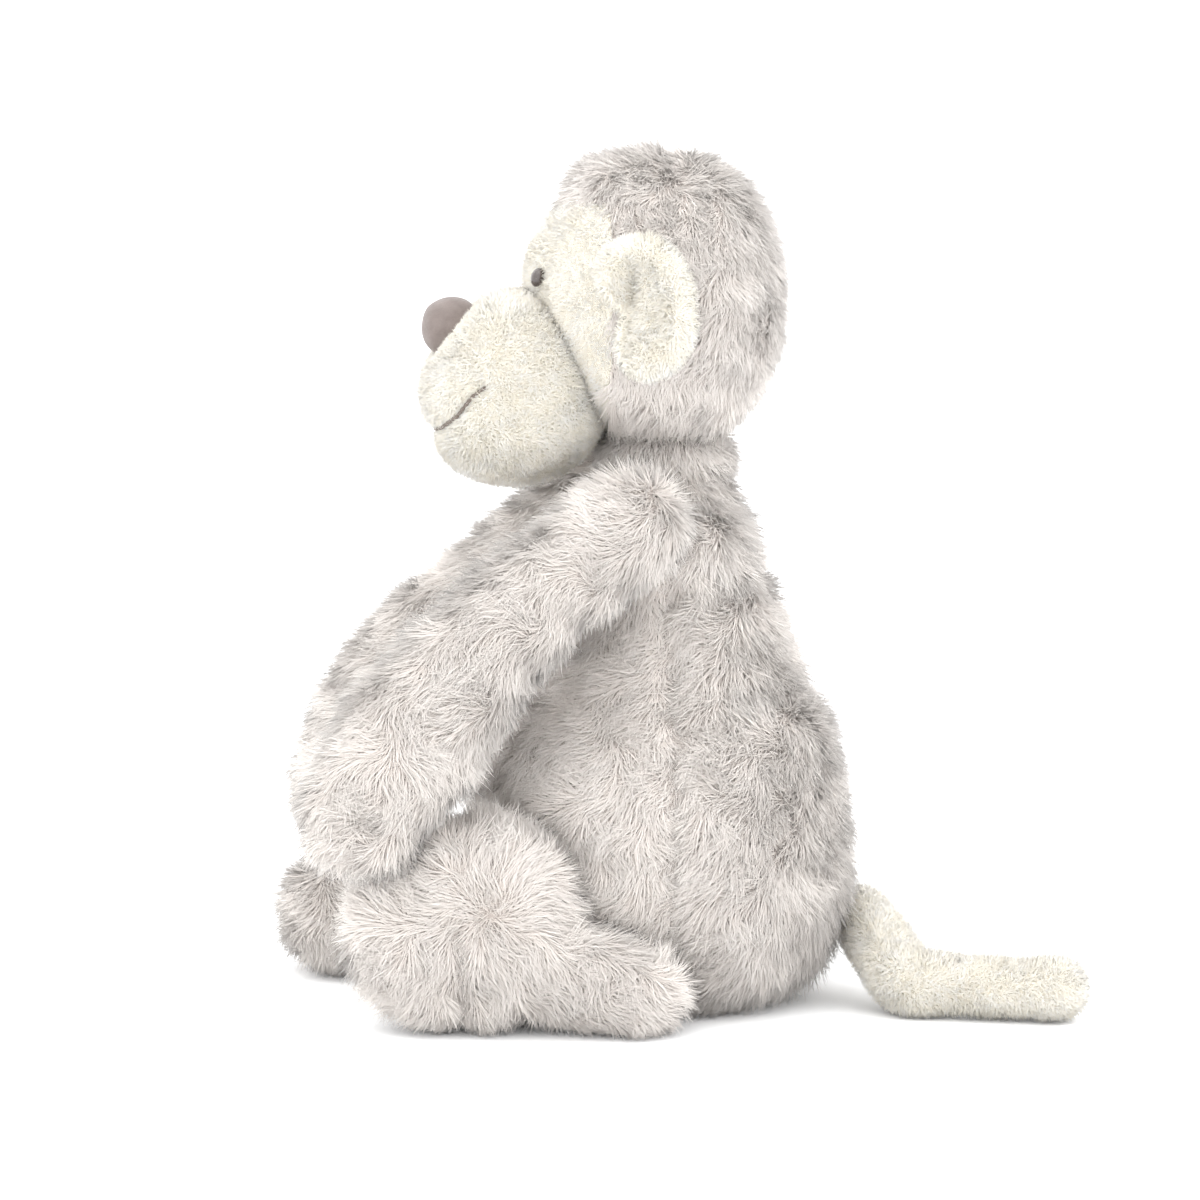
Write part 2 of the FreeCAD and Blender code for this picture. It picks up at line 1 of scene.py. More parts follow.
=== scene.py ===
"""Looks of a stuffed monkey that sits on the floor: its skins, plush pile, nose, eyes and mouth.

Metres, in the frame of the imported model: +Z is up, the face looks along -Y and the left side is
+X. The classes keep their sizes in millimetres, and a mesh is turned into metres when it is made.
"""

import json
import logging
import math
from dataclasses import dataclass, field
from enum import Enum
from typing import Any, Callable

import bmesh
import bpy
import numpy as np
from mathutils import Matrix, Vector, noise
from mathutils.bvhtree import BVHTree


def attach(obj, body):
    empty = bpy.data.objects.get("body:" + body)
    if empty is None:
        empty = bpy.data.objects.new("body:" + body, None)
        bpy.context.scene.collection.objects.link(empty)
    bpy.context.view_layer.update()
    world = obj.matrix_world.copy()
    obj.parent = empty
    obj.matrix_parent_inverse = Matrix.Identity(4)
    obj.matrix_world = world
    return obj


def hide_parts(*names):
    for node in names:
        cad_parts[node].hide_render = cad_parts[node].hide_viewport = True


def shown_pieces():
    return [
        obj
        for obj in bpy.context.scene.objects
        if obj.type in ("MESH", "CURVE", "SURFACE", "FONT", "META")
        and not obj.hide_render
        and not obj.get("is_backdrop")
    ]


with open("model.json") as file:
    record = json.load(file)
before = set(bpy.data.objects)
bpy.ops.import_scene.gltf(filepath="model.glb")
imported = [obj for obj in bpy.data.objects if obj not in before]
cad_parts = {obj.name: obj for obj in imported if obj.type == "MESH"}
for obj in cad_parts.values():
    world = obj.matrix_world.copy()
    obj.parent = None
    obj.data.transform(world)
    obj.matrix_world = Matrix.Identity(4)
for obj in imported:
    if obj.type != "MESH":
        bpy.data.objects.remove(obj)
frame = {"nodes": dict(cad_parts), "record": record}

LOG = logging.getLogger("monkey")
MM = 0.001
Array = np.ndarray
Field = Callable[[Array, Array], Array]
Test = Callable[[Array], Array]
Colour = tuple[float, float, float]
Place = tuple[float, float, float]

# How tightly each kind of soft piece is filled, from 0 to 1.
SKIN_FILL = 0.7
NOSE_FILL = 0.9

# How far the shading of a strand follows the cloth under it, from 0 to 1.
CLOTH_SHARE = 0.72

# How far the lowest strands stay above the floor, in millimetres.
FLOOR_GAP = 0.3

# The lowest that the undersides of the legs and of the tail lie, in millimetres.
LEG_REST = 0.6
TAIL_REST = 1.0


class Slot(Enum):
    """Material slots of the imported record."""

    FUR = "greige_fur"
    CREAM = "cream_plush"
    NOSE = "nose_suede"
    MOUTH = "mouth_thread"
    SEAM = "seam_thread"
    EYE = "eye_plastic"
    FIBRE = "fibre_filling"
    COTTON = "cotton_lining"
    BEANS = "plastic_beans"


class Side(Enum):
    """The monkey's own sides, each with the sign of its X."""

    LEFT = 1
    RIGHT = -1

    @property
    def word(self) -> str:
        """The side's name as the pieces spell it."""
        return self.name.lower()


def srgb(red: int, green: int, blue: int) -> Colour:
    """A colour of three numbers up to 255, as light."""
    return tuple(
        c / 12.92 if c <= 0.04045 else ((c + 0.055) / 1.055) ** 2.4
        for c in (red / 255, green / 255, blue / 255)
    )


# ---------------------------------------------------------------- node trees


@dataclass(frozen=True)
class Term:
    """An output socket that takes part in arithmetic.

    Attributes:
        graph: The graph that new nodes are added to.
        socket: The output socket.
        wide: Whether it carries a vector.
    """

    graph: "Graph"
    socket: bpy.types.NodeSocket
    wide: bool = False

    def join(self, operation: str, other: Any, swapped: bool = False) -> "Term":
        """Adds the node for one operation.

        Args:
            operation: The node's operation.
            other: A number, a tuple or another term.
            swapped: Whether the other one comes first.

        Returns:
            The term of the result.
        """
        pair = (other, self) if swapped else (self, other)
        wides = [isinstance(t, tuple) or (isinstance(t, Term) and t.wide) for t in pair]
        feeds: dict[Any, Any] = {0: pair[0], 1: pair[1]}
        kind = "ShaderNodeVectorMath" if any(wides) else "ShaderNodeMath"
        if operation == "MULTIPLY" and any(wides) and not all(wides):
            arrow, share = pair if wides[0] else pair[::-1]
            operation, feeds = "SCALE", {0: arrow, "Scale": share}
        node = self.graph.add(kind, {"operation": operation}, feeds)
        return Term(self.graph, node.outputs[0], any(wides))

    def __add__(self, other: Any) -> "Term":
        """Sum."""
        return self.join("ADD", other)

    def __radd__(self, other: Any) -> "Term":
        """Sum with a number on the left."""
        return self.join("ADD", other, True)

    def __sub__(self, other: Any) -> "Term":
        """Difference."""
        return self.join("SUBTRACT", other)

    def __rsub__(self, other: Any) -> "Term":
        """Difference from a number on the left."""
        return self.join("SUBTRACT", other, True)

    def __mul__(self, other: Any) -> "Term":
        """Product, or a vector scaled."""
        return self.join("MULTIPLY", other)

    def __rmul__(self, other: Any) -> "Term":
        """Product with a number on the left."""
        return self.join("MULTIPLY", other, True)

    def __rtruediv__(self, other: Any) -> "Term":
        """Quotient with a number on top."""
        return self.join("DIVIDE", other, True)

    def __pow__(self, other: Any) -> "Term":
        """Power."""
        return self.join("POWER", other)

    def most(self, other: Any) -> "Term":
        """The larger of two numbers."""
        return self.join("MAXIMUM", other)

    def unit(self) -> "Term":
        """The vector at length 1."""
        node = self.graph.add("ShaderNodeVectorMath", {"operation": "NORMALIZE"}, {0: self})
        return Term(self.graph, node.outputs[0], True)

    def dot(self, other: "Term") -> "Term":
        """The dot product of two vectors."""
        node = self.graph.add(
            "ShaderNodeVectorMath", {"operation": "DOT_PRODUCT"}, {0: self, 1: other}
        )
        return Term(self.graph, node.outputs["Value"])

    def within(self, low: float, high: float) -> "Term":
        """Spreads the span from low to high over 0 to 1 and holds it there."""
        return self.graph.term(
            "ShaderNodeMapRange",
            {"clamp": True},
            {"Value": self, "From Min": low, "From Max": high},
            "Result",
        )


class Graph:
    """A node tree with one way to add any node."""

    def __init__(self, tree: bpy.types.NodeTree) -> None:
        """Takes an empty tree."""
        self.tree = tree

    @staticmethod
    def pick(sockets: Any, key: int | str) -> bpy.types.NodeSocket:
        """A socket by its number, or the one in use that has a name.

        Args:
            sockets: The node's sockets on one side.
            key: The number or the name.

        Returns:
            The socket.
        """
        if isinstance(key, int):
            return sockets[key]
        return next(s for s in sockets if s.name == key and s.enabled)

    def add(
        self,
        kind: str,
        settings: dict[str, Any] | None = None,
        feeds: dict[Any, Any] | None = None,
    ) -> bpy.types.Node:
        """Adds a node.

        Args:
            kind: The node's type.
            settings: Its properties, set first; "stops" holds a ramp's places and colours.
            feeds: Values, sockets or terms for its inputs, by name or number.

        Returns:
            The node.
        """
        node = self.tree.nodes.new(kind)
        for name, value in (settings or {}).items():
            if name != "stops":
                setattr(node, name, value)
                continue
            stops = node.color_ramp.elements
            for index, (place, colour) in enumerate(value):
                stop = stops[index] if index < 2 else stops.new(place)
                stop.position, stop.color = place, (*colour, 1.0)
        for name, value in (feeds or {}).items():
            socket = self.pick(node.inputs, name)
            source = value.socket if isinstance(value, Term) else value
            if isinstance(source, bpy.types.NodeSocket):
                self.tree.links.new(source, socket)
            else:
                socket.default_value = source
        return node

    def term(
        self,
        kind: str,
        settings: dict[str, Any] | None = None,
        feeds: dict[Any, Any] | None = None,
        out: int | str = 0,
        wide: bool = False,
    ) -> Term:
        """Adds a node, as add does, and returns one of its outputs as a term."""
        return Term(self, self.pick(self.add(kind, settings, feeds).outputs, out), wide)

    def blend(self, share: Any, low: Any, high: Any) -> Term:
        """The colour that lies a share of the way from low to high."""
        ends = [end if isinstance(end, Term) else (*end, 1.0) for end in (low, high)]
        return self.term(
            "ShaderNodeMix",
            {"data_type": "RGBA"},
            {"Factor": share, "A": ends[0], "B": ends[1]},
            "Result",
            True,
        )


# ---------------------------------------------------------------- finishes


@dataclass(frozen=True)
class Finish:
    """A surface finish, made as a node material.

    Attributes:
        name: The material's name.
        slot: The record's slot that it belongs to.
    """

    name: str
    slot: Slot

    def feeds(self, graph: Graph) -> dict[str, Any]:
        """The shader's inputs, by name."""
        raise NotImplementedError

    def make(self) -> bpy.types.Material:
        """The material.

        Returns:
            The material.
        """
        material = bpy.data.materials.new(self.name)
        material.use_nodes = True
        material.node_tree.nodes.clear()
        graph = Graph(material.node_tree)
        shader = graph.add("ShaderNodeBsdfPrincipled", None, self.feeds(graph))
        graph.add("ShaderNodeOutputMaterial", None, {"Surface": shader.outputs[0]})
        return material

    @staticmethod
    def place(graph: Graph) -> Term:
        """The point on the piece, in metres."""
        return graph.term("ShaderNodeTexCoord", None, None, "Object", True)

    @staticmethod
    def mottle(graph: Graph, place: Term, size: float, detail: float = 2.0) -> Term:
        """Soft noise from 0 to 1 with patches of about this size in millimetres.

        Args:
            graph: The material's tree.
            place: Where the noise is read.
            size: The size of its patches.
            detail: How many finer layers it has.

        Returns:
            The noise.
        """
        return graph.term(
            "ShaderNodeTexNoise",
            None,
            {"Vector": place, "Scale": 1 / (size * MM), "Detail": detail, "Roughness": 0.55},
            "Fac",
        )

    @staticmethod
    def bump(
        graph: Graph, height: Term, depth: float, strength: float = 1.0
    ) -> bpy.types.NodeSocket:
        """A bumped normal, its depth in millimetres.

        Args:
            graph: The material's tree.
            height: The relief, from 0 to 1.
            depth: How deep it is.
            strength: How strongly it shows.

        Returns:
            The normal.
        """
        return graph.add(
            "ShaderNodeBump", None, {"Height": height, "Distance": depth * MM, "Strength": strength}
        ).outputs["Normal"]


@dataclass(frozen=True)
class PileFinish(Finish):
    """Strands of a pile: darker where they leave the cloth, a painted shade deep in the pile, with
    patches of a second tone.

    Attributes:
        root: Colour at the cloth, darker than the tips as painted shade deep in the pile.
        tip: Colour at the tips.
        fleck: Colour of the patches.
        patch: Size of the patches.
        flecks: How strongly the patches show.
        sheen: The shader's sheen weight.
    """

    root: Colour = (0.4, 0.4, 0.4)
    tip: Colour = (0.7, 0.7, 0.7)
    fleck: Colour = (0.6, 0.6, 0.6)
    patch: float = 9.0
    flecks: float = 0.5
    sheen: float = 0.25

    def feeds(self, graph: Graph) -> dict[str, Any]:
        """Colour from the place along the strand, which paints shade near the cloth, the strand's
        own tone and the patches.

        Args:
            graph: The material's tree.

        Returns:
            The shader's inputs, by name.
        """
        along = graph.term("ShaderNodeAttribute", {"attribute_name": "along"}, None, "Fac")
        tone = graph.term("ShaderNodeAttribute", {"attribute_name": "tone"}, None, "Fac")
        place = self.place(graph)
        wide = self.mottle(graph, place, self.patch)
        fine = self.mottle(graph, place, self.patch / 4)
        share = (wide * 0.55 + fine * 0.25 + tone * 0.2).within(0.36, 0.66) * self.flecks
        tips = graph.blend(share, self.tip, self.fleck)
        # Painted shade: each strand is darker towards the cloth, where the pile is shaded.
        rise = (along ** 0.8).within(0.0, 0.9)
        return {
            "Base Color": graph.blend(rise, self.root, tips),
            "Roughness": 0.82,
            "Specular IOR Level": 0.25,
            "Sheen Weight": self.sheen,
            "Sheen Roughness": 0.45,
        }


@dataclass(frozen=True)
class KnitFinish(Finish):
    """Knitted backing cloth of a plush, with its fine rows of loops.

    Attributes:
        light: Colour of the loops.
        dark: Colour between them.
        loop: Size of a loop.
        wear: Size of the worn patches.
    """

    light: Colour = (0.5, 0.5, 0.5)
    dark: Colour = (0.4, 0.4, 0.4)
    loop: float = 0.9
    wear: float = 7.0

    def feeds(self, graph: Graph) -> dict[str, Any]:
        """Colour and bump from crossed rows of loops, broken by soft noise.

        Args:
            graph: The material's tree.

        Returns:
            The shader's inputs, by name.
        """
        place = self.place(graph)
        rows = [
            graph.term(
                "ShaderNodeTexWave",
                {"bands_direction": axis},
                {
                    "Vector": place,
                    "Scale": 0.5 / (self.loop * MM),
                    "Distortion": 1.5,
                    "Detail": 1.0,
                },
                "Fac",
            )
            for axis in ("X", "Z")
        ]
        loops = rows[0] * rows[1]
        worn = self.mottle(graph, place, self.wear)
        share = (loops * 0.6 + worn * 0.5).within(0.1, 0.8)
        return {
            "Base Color": graph.blend(share, self.dark, self.light),
            "Roughness": (0.95 - 0.12 * loops),
            "Specular IOR Level": 0.2,
            "Normal": self.bump(graph, loops + worn * 0.6, 0.25),
        }


@dataclass(frozen=True)
class SuedeFinish(Finish):
    """Short brushed suede: cloudy, with a fine nap.

    Attributes:
        light: Colour where the nap is brushed up.
        dark: Colour where it lies flat.
        cloud: Size of the brushed clouds.
        nap: Size of the nap's grain.
    """

    light: Colour = (0.45, 0.4, 0.38)
    dark: Colour = (0.3, 0.27, 0.25)
    cloud: float = 5.0
    nap: float = 0.35

    def feeds(self, graph: Graph) -> dict[str, Any]:
        """Colour from brushed clouds, bump from the nap.

        Args:
            graph: The material's tree.

        Returns:
            The shader's inputs, by name.
        """
        place = self.place(graph)
        cloud = self.mottle(graph, place, self.cloud)
        nap = self.mottle(graph, place, self.nap, 4.0)
        share = (cloud * 0.7 + nap * 0.4).within(0.35, 0.75)
        return {
            "Base Color": graph.blend(share, self.dark, self.light),
            "Roughness": (0.7 + 0.2 * nap),
            "Specular IOR Level": 0.25,
            "Sheen Weight": 0.3,
            "Sheen Roughness": 0.35,
            "Normal": self.bump(graph, nap + cloud * 0.5, 0.18),
        }


@dataclass(frozen=True)
class ThreadFinish(Finish):
    """Twisted sewing thread.

    Attributes:
        light: Colour of the strands of the thread.
        dark: Colour between them.
        twist: How often the twist returns in a metre.
    """

    light: Colour = (0.3, 0.26, 0.24)
    dark: Colour = (0.16, 0.13, 0.12)
    twist: float = 700.0

    def feeds(self, graph: Graph) -> dict[str, Any]:
        """Colour and bump from the twist.

        Args:
            graph: The material's tree.

        Returns:
            The shader's inputs, by name.
        """
        place = self.place(graph)
        twist = graph.term(
            "ShaderNodeTexWave",
            {"bands_direction": "DIAGONAL"},
            {"Vector": place, "Scale": self.twist, "Distortion": 2.0},
            "Fac",
        )
        return {
            "Base Color": graph.blend(twist, self.dark, self.light),
            "Roughness": (0.7 - 0.15 * twist),
            "Normal": self.bump(graph, twist, 0.12),
        }


@dataclass(frozen=True)
class GlossFinish(Finish):
    """Moulded dark plastic under a clear coat, a little worn.

    Attributes:
        body: Colour of the plastic.
        worn: Colour where it is scuffed.
        scuff: Size of the scuffs.
    """

    body: Colour = (0.05, 0.04, 0.035)
    worn: Colour = (0.09, 0.075, 0.07)
    scuff: float = 1.2

    def feeds(self, graph: Graph) -> dict[str, Any]:
        """Colour and roughness from faint wear.

        Args:
            graph: The material's tree.

        Returns:
            The shader's inputs, by name.
        """
        scuffs = self.mottle(graph, self.place(graph), self.scuff, 5.0)
        return {
            "Base Color": graph.blend(scuffs.within(0.4, 0.8), self.body, self.worn),
            "Roughness": (0.16 + 0.2 * scuffs),
            "Coat Weight": 0.6,
            "Coat Roughness": 0.08,
        }


@dataclass(frozen=True)
class LooseFinish(Finish):
    """Stuffing of any kind: fibres, woven lining or beans, by the size and depth of its grain.

    Attributes:
        light: Colour of the raised grain.
        dark: Colour between.
        grain: Size of the grain.
        cells: Whether the grain is round cells.
    """

    light: Colour = (0.9, 0.9, 0.88)
    dark: Colour = (0.7, 0.7, 0.68)
    grain: float = 1.5
    cells: bool = False

    def feeds(self, graph: Graph) -> dict[str, Any]:
        """Colour and bump from the grain.

        Args:
            graph: The material's tree.

        Returns:
            The shader's inputs, by name.
        """
        place = self.place(graph)
        if self.cells:
            far = graph.term(
                "ShaderNodeTexVoronoi",
                None,
                {"Vector": place, "Scale": 1 / (self.grain * MM)},
                "Distance",
            )
            height = 1 - far
        else:
            height = self.mottle(graph, place, self.grain, 6.0)
        return {
            "Base Color": graph.blend(height.within(0.3, 0.75), self.dark, self.light),
            "Roughness": (0.9 - 0.15 * height),
            "Normal": self.bump(graph, height, self.grain * 0.3),
        }


# The root colours are darker than the tips: painted shade deep in the pile.
FUR_PILE = PileFinish(
    "greige_fur_pile",
    Slot.FUR,
    root=srgb(227, 218, 211),
    tip=srgb(242, 237, 232),
    fleck=srgb(229, 221, 214),
)
CREAM_PILE = PileFinish(
    "cream_plush_pile",
    Slot.CREAM,
    root=srgb(252, 247, 234),
    tip=srgb(254, 253, 249),
    fleck=srgb(249, 241, 222),
    patch=6.0,
    flecks=0.85,
    sheen=0.15,
)
# The backing cloths are darker than the pile's tips: painted shade under the pile.
FUR_CLOTH = KnitFinish(
    "greige_backing", Slot.FUR, light=srgb(214, 205, 200), dark=srgb(200, 190, 184)
)
CREAM_CLOTH = KnitFinish(
    "cream_backing", Slot.CREAM, light=srgb(250, 244, 230), dark=srgb(246, 238, 222)
)
NOSE_SUEDE = SuedeFinish(
    "nose_suede", Slot.NOSE, light=srgb(132, 122, 118), dark=srgb(112, 102, 98)
)
MOUTH_THREAD = ThreadFinish(
    "mouth_thread", Slot.MOUTH, light=srgb(128, 117, 108), dark=srgb(98, 88, 81)
)
SEAM_THREAD = ThreadFinish(
    "seam_thread", Slot.SEAM, light=srgb(200, 190, 184), dark=srgb(168, 158, 152)
)
EYE_GLOSS = GlossFinish("eye_plastic", Slot.EYE, body=srgb(70, 62, 60), worn=srgb(86, 78, 75))
FIBRE = LooseFinish("fibre_filling", Slot.FIBRE, grain=2.2)
COTTON = LooseFinish(
    "cotton_lining", Slot.COTTON, light=srgb(232, 226, 214), dark=srgb(205, 198, 184), grain=0.7
)
BEANS = LooseFinish(
    "plastic_beans",
    Slot.BEANS,
    light=srgb(238, 238, 236),
    dark=srgb(150, 150, 150),
    grain=3.2,
    cells=True,
)
INSIDE = {
    Slot.FUR: FUR_CLOTH,
    Slot.CREAM: CREAM_CLOTH,
    Slot.NOSE: NOSE_SUEDE,
    Slot.MOUTH: MOUTH_THREAD,
    Slot.SEAM: SEAM_THREAD,
    Slot.EYE: EYE_GLOSS,
    Slot.FIBRE: FIBRE,
    Slot.COTTON: COTTON,
    Slot.BEANS: BEANS,
}


class Finishes:
    """Keeps one material for each finish."""

    made: dict[str, bpy.types.Material] = {}

    @classmethod
    def of(cls, finish: Finish) -> bpy.types.Material:
        """The finish's material, made when it is first asked for.

        Args:
            finish: The finish.

        Returns:
            Its material.
        """
        if finish.name not in cls.made:
            cls.made[finish.name] = finish.make()
        return cls.made[finish.name]


# ---------------------------------------------------------------- shapes


def smooth_line(points: Array, count: int) -> Array:
    """A smooth line through points.

    Args:
        points: The points, in order.
        count: How many points to return, evenly spaced in the line's own measure.

    Returns:
        The points of the line.
    """
    knots = np.vstack([2 * points[0] - points[1], points, 2 * points[-1] - points[-2]])
    where = np.linspace(0, len(points) - 1 - 1e-9, count)
    index = where.astype(int)
    t = (where - index)[:, None]
    a, b, c, d = (knots[index + k] for k in range(4))
    return 0.5 * (
        2 * b + (c - a) * t + (2 * a - 5 * b + 4 * c - d) * t**2 + (3 * b - a - 3 * c + d) * t**3
    )


def unit(vectors: Array) -> Array:
    """The vectors at length 1."""
    return vectors / np.maximum(np.linalg.norm(vectors, axis=-1, keepdims=True), 1e-9)


def bell(distance: Array, width: float) -> Array:
    """1 at no distance, falling softly to 0 over a few widths."""
    return np.exp(-((distance / width) ** 2))


def ramp(measure: Array, start: float, end: float) -> Array:
    """0 up to the start, 1 from the end on, and straight between."""
    return np.clip((measure - start) / (end - start), 0, 1)


@dataclass(frozen=True)
class Ridge:
    """A soft rise, or a groove where it is taken away, across one measure of a skin.

    Attributes:
        amount: Its height in millimetres, or its share.
        centre: Where it is highest.
        width: How wide it is.
    """

    amount: float
    centre: float
    width: float

    def at(self, measure: Array) -> Array:
        """How high it is at each number."""
        return self.amount * bell(measure - self.centre, self.width)


def lumps(points: Array, size: float, seed: float = 0.0) -> Array:
    """Soft noise about 0, one number a point, with lumps of about this size."""
    return np.array([noise.noise(Vector(p) / size + Vector((seed, seed, seed))) for p in points])


def ring_mesh(name: str, rings: Array, poles: Array) -> bpy.types.Mesh:
    """A closed mesh from rings of points and its two end points, all in millimetres.

    Args:
        name: The mesh's name.
        rings: Points, as rings by points by three.
        poles: The end points, one beyond each end ring.

    Returns:
        The mesh, its faces outwards.
    """
    count, around = rings.shape[:2]
    points = np.concatenate([rings.reshape(-1, 3), poles]) * MM
    faces: list[tuple[int, ...]] = []
    last = (count - 1) * around
    for j in range(around):
        k = (j + 1) % around
        faces += [
            (i * around + j, i * around + k, (i + 1) * around + k, (i + 1) * around + j)
            for i in range(count - 1)
        ]
        faces += [(count * around, k, j), (count * around + 1, last + j, last + k)]
    mesh = bpy.data.meshes.new(name)
    mesh.from_pydata(points.tolist(), [], faces)
    turn_out(mesh)
    return mesh


def turn_out(mesh: bpy.types.Mesh) -> None:
    """Turns a closed mesh's faces outwards and shades it smooth.

    Args:
        mesh: The closed mesh.
    """
    shape = bmesh.new()
    shape.from_mesh(mesh)
    bmesh.ops.recalc_face_normals(shape, faces=shape.faces)
    if shape.calc_volume(signed=True) < 0:
        bmesh.ops.reverse_faces(shape, faces=shape.faces)
    shape.to_mesh(mesh)
    shape.free()
    mesh.shade_smooth()


def club_mesh(
    name: str, points: Array, radii: Array, across: Array, around: int = 60, along: int = 64
) -> bpy.types.Mesh:
    """A round-ended tube along a smooth line.

    Args:
        name: The mesh's name.
        points: Points of its line.
        radii: Its radius at each point.
        across: A direction that the line never takes.
        around: Points in a ring.
        along: Rings between the two ends.

    Returns:
        The mesh.
    """
    fine = 400
    line = smooth_line(points, fine)
    steps = np.concatenate([[0.0], np.cumsum(np.linalg.norm(np.diff(line, axis=0), axis=1))])
    knots = np.interp(np.arange(len(points)), np.linspace(0, len(points) - 1, fine), steps)
    cap = np.linspace(0.1, np.pi / 2, 12)
    middle = np.linspace(0, steps[-1], along)[1:-1]
    ends = radii[0], radii[-1]
    first, last = -ends[0] * np.cos(cap), steps[-1] + ends[1] * np.cos(cap[::-1])
    station = np.concatenate([first, middle, last])
    held = np.clip(station, 0, steps[-1])
    wide = smooth_line(np.column_stack([knots, radii]), fine)
    width = np.interp(held, wide[:, 0], wide[:, 1])
    beyond = np.abs(station - held)
    reach = np.where(station < 0, ends[0], ends[1])
    width = np.where(beyond > 0, np.sqrt(np.maximum(reach**2 - beyond**2, 0)), width)
    tangents = unit(np.gradient(line, axis=0))
    ahead = np.column_stack([np.interp(held, steps, tangents[:, k]) for k in range(3)])
    ahead = unit(ahead)
    centre = np.column_stack([np.interp(held, steps, line[:, k]) for k in range(3)])
    centre = centre + ahead * (station - held)[:, None]
    out = unit(np.cross(ahead, across))
    up = np.cross(ahead, out)
    turn = np.linspace(0, 2 * np.pi, around, endpoint=False)
    rings = centre[:, None] + width[:, None, None] * (
        np.cos(turn)[None, :, None] * out[:, None] + np.sin(turn)[None, :, None] * up[:, None]
    )
    poles = np.array([line[0] - tangents[0] * ends[0], line[-1] + tangents[-1] * ends[1]])
    return ring_mesh(name, rings, poles)


def oval_mesh(
    name: str,
    centre: Array,
    axis: int,
    reach: float,
    depth: float,
    edge: float,
    around: int,
    along: int,
) -> bpy.types.Mesh:
    """A round, flattened form: two wide arcs for its faces and a small one for its edge.

    Args:
        name: The mesh's name.
        centre: Its centre.
        axis: The number of the axis that it is flattened along.
        reach: Its radius across the axis.
        depth: Half its depth along the axis.
        edge: The radius of its edge.
        around: Points in a ring.
        along: Rings from face to face.

    Returns:
        The mesh.
    """
    sink = ((reach - edge) ** 2 - (depth - edge) ** 2) / (2 * (depth - edge))
    meet = math.atan2(reach - edge, sink)
    angle = np.linspace(0.03, np.pi - 0.03, along)
    folded = np.minimum(angle, np.pi - angle)
    on_face = folded < meet
    out, up = np.sin(folded), np.cos(folded)
    radius = np.where(on_face, (depth + sink) * out, reach - edge + edge * out)
    height = np.where(on_face, (depth + sink) * up - sink, edge * up)
    height = height * np.sign(np.pi / 2 - angle)
    turn = np.linspace(0, 2 * np.pi, around, endpoint=False)
    rings = np.zeros((along, around, 3))
    first, second = [k for k in range(3) if k != axis]
    rings[..., first] = radius[:, None] * np.cos(turn)
    rings[..., second] = radius[:, None] * np.sin(turn)
    rings[..., axis] = height[:, None]
    poles = np.zeros((2, 3))
    poles[:, axis] = depth, -depth
    return ring_mesh(name, rings + centre, poles + centre)


def evaluated(piece: bpy.types.Object) -> bpy.types.Mesh:
    """The piece's mesh with its modifiers applied, as a plain mesh."""
    graph = bpy.context.evaluated_depsgraph_get()
    return bpy.data.meshes.new_from_object(
        piece.evaluated_get(graph), preserve_all_data_layers=True, depsgraph=graph
    )


def soften_shade(mesh: bpy.types.Mesh, mark: str, share: float) -> None:
    """Turns the shading normals of strands towards those of the cloth that they stand on.

    Args:
        mesh: The strands.
        mark: The attribute that holds the cloth's normal.
        share: How far they turn.
    """
    own = np.empty(len(mesh.vertices) * 3, np.float32)
    cloth = own.copy()
    mesh.vertex_normals.foreach_get("vector", own)
    mesh.attributes[mark].data.foreach_get("vector", cloth)
    turned = unit(cloth.reshape(-1, 3) * share + own.reshape(-1, 3) * (1 - share))
    mesh.normals_split_custom_set_from_vertices(turned)


def new_piece(name: str, mesh: bpy.types.Mesh) -> bpy.types.Object:
    """An object at the origin for a mesh."""
    piece = bpy.data.objects.new(name, mesh)
    bpy.context.scene.collection.objects.link(piece)
    return piece


def bake_down(piece: bpy.types.Object) -> bpy.types.Object:
    """Turns a piece's modifiers into its own mesh and takes them off.

    Args:
        piece: The piece.

    Returns:
        The piece, a plain mesh.
    """
    mesh = evaluated(piece)
    mesh.name = piece.name
    piece.modifiers.clear()
    piece.data = mesh
    return piece


